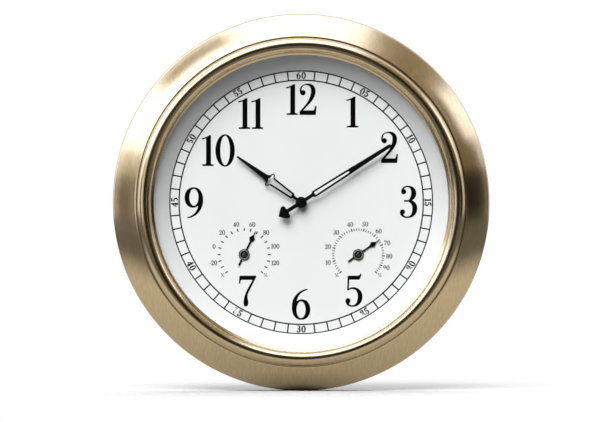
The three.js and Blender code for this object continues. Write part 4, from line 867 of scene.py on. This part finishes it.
def cross(at, reach, half):
    """The outline of a plus sign."""
    corner = [(reach, half), (half, half), (half, reach)]
    return [point for turn in range(4) for point in spun([corner], 90 * turn, at)[0]]


def build_back_cover():
    """Moulded cover: a raised rim, a lipped window, vents, sunk screw places and the hanger's pad."""
    radius, face, thickness = 176.5, 0.3, 2.0
    rim_inner, rim_top = 165.0, 4.0
    rib_inner, rib_outer, rib_top = 144.6, 146.0, 8.0
    mesh = turned([
        (0, face), (rim_inner - 2, face), (rim_inner - 1.4, 0), (radius - 0.5, 0), (radius, 0.5),
        (radius, rim_top), (rim_inner, rim_top), (rim_inner, thickness), (rib_outer, thickness),
        (rib_outer, rib_top), (rib_inner, rib_top), (rib_inner, thickness), (0, thickness),
    ], round_sides)
    low, high = -1, 3  # heights that reach through the cover
    window = sheet([rounded(-47.02, 47.02, -27, 44, 4)], low, high)
    pocket = sheet([rounded(-20.05, 20.05, 105.95, 132.05, 2)], low, high + 0.05)
    cutters = [window, pocket]
    screw_circle, head, sunk, hole = 170.75, 3.05, 2.0, 1.45
    steps = [(0, -1), (head, -1), (head, sunk), (hole, sunk), (hole, 5), (0, 5)]
    for i in range(6):
        cutters.append(turned(steps, 40, axis=polar(30 + 60 * i, screw_circle)))
    half_height = 1.2
    for side in (-1, 1):
        for row in range(-2, 3):
            half_width = 14.4 - 1.5 * abs(row)
            x, y = side * GAUGE_SPREAD, 6 * row - GAUGE_DROP - 8
            slot = rounded(x - half_width, x + half_width, y - half_height, y + half_height, 1.1)
            cutters.append(sheet([slot], low, high))
    cover = carved(mesh, cutters, 0.2)
    lip_outline = [rounded(-50, 50, -30, 47, 6.5), rounded(-47.6, 47.6, -27.6, 44.6, 4.5)]
    lip = sheet(lip_outline, 0, face + 0.05, 0.1)
    nail = block(-5.3, 5.3, 108.7, 129, 3, 7.3)
    pad = carved(carved(block(-22.3, 22.3, 103.7, 134.3, 1.9, 9), [pocket]), [nail], 0.2)
    mesh = joined([cover, lip, pad])
    flatten(finish_mesh("moulded_cover", mesh, BLACK_PLASTIC, "case", ["back_cover"]))


def build_screw(name):
    """A pan-head screw with a cross recess, as long as its node."""
    low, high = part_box(name)
    at = ((low.x + high.x) / 2 / MM, (low.z + high.z) / 2 / MM + HANGER_HEIGHT)
    back, front = -high.y / MM, -low.y / MM
    head, height, flat, shank = 3.0, 1.5, 1.7, 1.4
    reach, half, depth = 1.7, 0.42, 0.8  # of the cross recess
    profile = [
        (0, back), (flat, back), (head - 0.5, back + 0.25), (head, back + 0.8), (head, back + height),
        (shank, back + height), (shank, front - shank), (0, front),
    ]
    recess = sheet([cross(at, reach, half)], back - 1, back + depth)
    mesh = carved(turned(profile, 40, axis=at), [recess], 0.08)
    finish_mesh(f"{name}_pan_head", mesh, STEEL, "case", [name])


def build_bay_marks():
    """A raised border round the cell's bay, and a plus and a minus beside its ends."""
    face = 1.5
    outline = [rounded(-31, 28.3, 21.2, 40.2, 1.6), rounded(-29.2, 26.5, 23, 38.4, 0.6)]
    border = sheet(outline, face - 0.4, face, 0.12)
    finish_mesh("bay_border", border, GREY_PLASTIC, "case", [])
    plus = sheet([cross((33.4, 30.7), 2.4, 0.5)], face - 0.3, face, 0.08)
    minus = sheet([rounded(-38.4, -33.6, 30.2, 31.2, 0.3)], face - 0.3, face, 0.08)
    finish_mesh("bay_signs", joined([plus, minus]), RING_WHITE, "case", [])


def round_node_edges(names, width):
    """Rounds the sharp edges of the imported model's own nodes, in mm."""
    for name in names:
        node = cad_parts[name]
        weld = node.modifiers.new("weld", "WELD")
        weld.merge_threshold = 0.001 * MM
        soften(node, width * MM)
        node.data.shade_smooth()
        flatten(node)


build_back_cover()
for i in range(1, 7):
    build_screw(f"cover_screw_{i}")
for i in (1, 2):
    build_screw(f"hanger_screw_{i}")
build_bay_marks()
round_node_edges(["movement_rear_case", "battery_cell"], 0.4)
round_node_edges(["set_button", "receive_button", "reset_button"], 0.25)
round_node_edges(["time_zone_switch", "daylight_saving_switch", "hanger_plate"], 0.15)


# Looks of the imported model's own nodes

COIL_WIRE = copper_winding(2)
NODE_LOOKS = (
    (("dial",), DIAL_PAINT),
    (("glass_gasket", "rubber_washer"), RUBBER),
    (("thermometer_cup", "hygrometer_cup", "receiver_chip"), BLACK_PLASTIC),
    (("movement_front_case", "movement_rear_case"), GREY_PLASTIC),
    (("time_zone_switch", "daylight_saving_switch"), BLACK_PLASTIC),
    (("set_button", "receive_button", "reset_button"), RED_PLASTIC),
    (("train_plate", "coil_bobbin", "second_wheel", "third_wheel"), NATURAL_PLASTIC),
    (("minute_wheel", "motion_wheel", "hour_wheel"), NATURAL_PLASTIC),
    (("dial_washer", "mounting_nut"), BLACK_LACQUER),
    (("mounting_bushing", "thermometer_coil"), BRASS),
    (("humidity_coil", "thermometer_arbor", "hygrometer_arbor"), BRASS),
    (("coil_winding", "antenna_coil"), COIL_WIRE),
    (("stator", "rotor"), DARK_STEEL),
    (("antenna_rod",), FERRITE),
    (("circuit_board",), BOARD),
    (("battery_cell",), CELL),
    (("hanger_plate", "quartz_crystal", "minus_contact", "plus_contact"), STEEL),
    (tuple(f"dial_screw_{i}" for i in range(1, 5)), STEEL),
)
for names, material in NODE_LOOKS:
    for name in names:
        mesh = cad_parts[name].data
        mesh.materials.clear()
        mesh.materials.append(material)


# Studio

FLOOR = -0.3018


def cleared(owner):
    """Clears a material or world of nodes, and gives a function that adds nodes to it."""
    owner.use_nodes = True
    owner.node_tree.nodes.clear()
    return partial(add_node, owner.node_tree)


def emission(name, colour, strength):
    made = bpy.data.materials.new(name)
    node = cleared(made)
    light = node("ShaderNodeEmission", {"Color": (*colour, 1), "Strength": strength})
    node("ShaderNodeOutputMaterial", {"Surface": light.outputs["Emission"]})
    return made


def card_tint(strength):
    """Bright cards are cool like daylight, and dark ones warm like a room."""
    if strength >= 1.4:
        return (0.93, 1.0, 1.3)
    return (1.2, 1.0, 0.7) if strength <= 0.3 else (1, 1, 1)


def card_object(name, mesh, strength):
    """Hides a studio card from everything but reflections."""
    mesh.materials.append(emission(name, card_tint(strength), strength))
    made = bpy.data.objects.new(name, mesh)
    bpy.context.scene.collection.objects.link(made)
    for ray in ("camera", "diffuse", "shadow", "transmission", "volume_scatter"):
        setattr(made, f"visible_{ray}", False)


def dome_card(name, start, end, low, high, strength, radius):
    """A card on a dome round the dial's centre.
    start and end are angles on the dial, low and high are tilts out of its plane, in degrees."""
    across, up = 12, 6
    shape = bmesh.new()
    grid = []
    for i in range(across + 1):
        angle = math.radians(start + (end - start) * i / across)
        column = []
        for j in range(up + 1):
            tilt = math.radians(low + (high - low) * j / up)
            flat = radius * math.cos(tilt)
            column.append(shape.verts.new((
                flat * math.cos(angle),
                -radius * math.sin(tilt),
                flat * math.sin(angle) - HANGER_HEIGHT * MM,
            )))
        grid.append(column)
    for left, right in zip(grid, grid[1:]):
        for j in range(up):
            shape.faces.new((left[j], right[j], right[j + 1], left[j + 1]))
    card_object(name, mesh_of(shape, name), strength)


# Each card: its angles on the dial, its tilts out of the dial's plane, and its brightness.
CARDS = (
    ("overhead_card", 68, 163, -14, 52, 3.4),
    ("overhead_gap_card", 114, 140, 11, 25, 0.5),
    ("left_edge_card", 163, 171, -14, 11, 2.6),
    ("left_shade_card", 163, 171, 11, 52, 0.9),
    ("left_low_card", 171, 200, -14, 11, 1.7),
    ("left_dark_card", 171, 200, 11, 36, 0.18),
    ("left_high_card", 171, 200, 36, 52, 1.6),
    ("upper_low_card", 39, 68, -14, 6, 1.1),
    ("upper_right_dark_card", 39, 68, 6, 52, 0.3),
    ("right_kicker_card", 21, 39, -14, 25, 2.5),
    ("right_kicker_dark_card", 21, 39, 25, 52, 0.2),
    ("right_step_card", 11, 21, -14, 14, 1.7),
    ("right_step_dark_card", 11, 21, 14, 52, 0.25),
    ("right_low_card", -24, 11, -14, 11, 0.8),
    ("right_dark_card", -11, 11, 11, 52, 0.02),
    ("right_lower_dark_card", -24, -11, 11, 52, 0.25),
)
dome_radius, inset = 2.3, 0.02  # each card lies a little inside the one before
for order, card in enumerate(CARDS):
    dome_card(*card, dome_radius - inset * order)


def camera_side_card():
    """The dark room behind the camera, a little above its axis and to its right."""
    above, half_angle, distance = math.radians(18), math.radians(33), 2.0
    towards = Vector((0.1, -math.cos(above), math.sin(above)))
    shape = bmesh.new()
    bmesh.ops.create_circle(shape, cap_ends=True, segments=48, radius=distance * math.tan(half_angle))
    mesh = mesh_of(shape, "camera_side_card")
    turn = towards.to_track_quat("Z", "Y").to_matrix().to_4x4()
    mesh.transform(Matrix.Translation(towards * distance + Vector((0, 0, -HANGER_HEIGHT * MM))) @ turn)
    card_object("camera_side_card", mesh, 0.02)


camera_side_card()


def build_floor():
    """A pale table top. It keeps the clock's shadow for the camera and fades to white further off,
    and it throws little light back up at the clock.
    Reflections see a painted ramp in its place: a painted contact shadow where it meets the clock,
    brightening outwards, and a painted dim grey further off."""
    bpy.ops.mesh.primitive_plane_add(size=6, location=(0, 0, FLOOR))
    floor = bpy.context.object
    floor.name = "studio_floor"
    made = bpy.data.materials.new("studio_floor")
    node = cleared(made)
    place = node("ShaderNodeTexCoord").outputs["Object"]
    seen = node("ShaderNodeLightPath").outputs

    def from_foot(width_share):
        """The distance from the clock's foot, in which sideways lengths count for a share."""
        narrowed = node("ShaderNodeMapping", {"Vector": place, "Scale": (width_share, 1, 1)})
        ends = {0: narrowed.outputs["Vector"], 1: (0, -0.01, 0)}
        return node("ShaderNodeVectorMath", ends, operation="DISTANCE").outputs["Value"]

    tone = node("ShaderNodeMapRange", {"Value": seen["Is Camera Ray"], "To Min": 0.05, "To Max": 0.52})
    paint = node("ShaderNodeBsdfDiffuse", {"Color": tone.outputs["Result"]})
    white = node("ShaderNodeEmission")
    fading = {"Value": from_foot(1.0), "From Max": 0.42}
    fade = node("ShaderNodeMapRange", fading, interpolation_type="SMOOTHSTEP")
    factors = {0: fade.outputs["Result"], 1: seen["Is Camera Ray"]}
    to_camera = node("ShaderNodeMath", factors, operation="MULTIPLY")
    parts = {0: to_camera.outputs[0], 1: paint.outputs[0], 2: white.outputs[0]}
    table = node("ShaderNodeMixShader", parts)

    # Painted reflection of the floor: an emission ramp by distance from the clock's foot, not the lit
    # floor
    ramp_length = 0.8
    reach = node("ShaderNodeMath", {0: from_foot(0.5), 1: ramp_length}, operation="DIVIDE")
    painted_reflection_ramp = node("ShaderNodeValToRGB", {"Fac": reach.outputs[0]})
    painted_reflection_levels = ((0.02, 0.02), (0.0275, 0.32), (0.05, 0.6), (0.11, 0.78), (0.27, 0.95))
    stops = [(share, (*(level * tint for tint in card_tint(level)), 1)) for share, level in painted_reflection_levels]
    # The first colour is a painted contact shadow at the clock's foot, the last a painted dim grey further
    # off
    contact, painted_far_grey = (0.012, 0.01, 0.007, 1), (0.22, 0.22, 0.22, 1)
    fill_ramp(painted_reflection_ramp.color_ramp, [(0, contact), *stops, (0.47, painted_far_grey)])
    reflection = node("ShaderNodeEmission", {"Color": painted_reflection_ramp.outputs["Color"]})
    parts = {0: seen["Is Glossy Ray"], 1: table.outputs[0], 2: reflection.outputs[0]}
    blend = node("ShaderNodeMixShader", parts)
    node("ShaderNodeOutputMaterial", {"Surface": blend.outputs[0]})
    floor.data.materials.append(made)


def build_world():
    """White where the camera, a reflection or glass sees the background, and dimmer as a light."""
    world = bpy.data.worlds.new("studio")
    bpy.context.scene.world = world
    node = cleared(world)
    seen = node("ShaderNodeLightPath").outputs
    shown = seen["Is Camera Ray"]
    for ray in ("Is Glossy Ray", "Is Transmission Ray"):
        shown = node("ShaderNodeMath", {0: shown, 1: seen[ray]}, operation="MAXIMUM").outputs[0]
    strength = node("ShaderNodeMapRange", {"Value": shown, "To Min": 0.1, "To Max": 1.0})
    shine = {"Color": (1, 1, 1, 1), "Strength": strength.outputs["Result"]}
    background = node("ShaderNodeBackground", shine)
    node("ShaderNodeOutputWorld", {"Surface": background.outputs[0]})


def sun(name, towards, strength, spread):
    """A soft lamp whose light comes from a direction."""
    lamp = bpy.data.lights.new(name, "SUN")
    lamp.energy = strength
    lamp.angle = math.radians(spread)
    made = bpy.data.objects.new(name, lamp)
    made.rotation_euler = Vector(towards).to_track_quat("Z", "Y").to_euler()
    made.visible_glossy = False
    bpy.context.scene.collection.objects.link(made)


def build_camera():
    """Straight at the clock, a little below the dial's centre."""
    distance = 4.5  # to the dial
    shown_width = 0.5662
    across, height = -0.00113, -0.1322  # of the view's centre
    lens = bpy.data.cameras.new("camera")
    lens.sensor_width = 36
    lens.lens = lens.sensor_width * distance / shown_width
    lens.clip_end = 100
    camera = bpy.data.objects.new("camera", lens)
    camera.location = (across, -distance - DIAL_FRONT * MM, height)
    camera.rotation_euler = (math.radians(90), 0, 0)
    bpy.context.scene.collection.objects.link(camera)
    bpy.context.scene.camera = camera


build_floor()
build_world()
sun("key", (-0.218, -0.643, 0.734), 4.95, 44)
sun("top_light", (0, 0.35, 0.94), 2.4, 50)
sun("back_light", (0.5, 0.8, 0.33), 1.4, 40)
build_camera()
bpy.context.scene.view_settings.view_transform = "Standard"
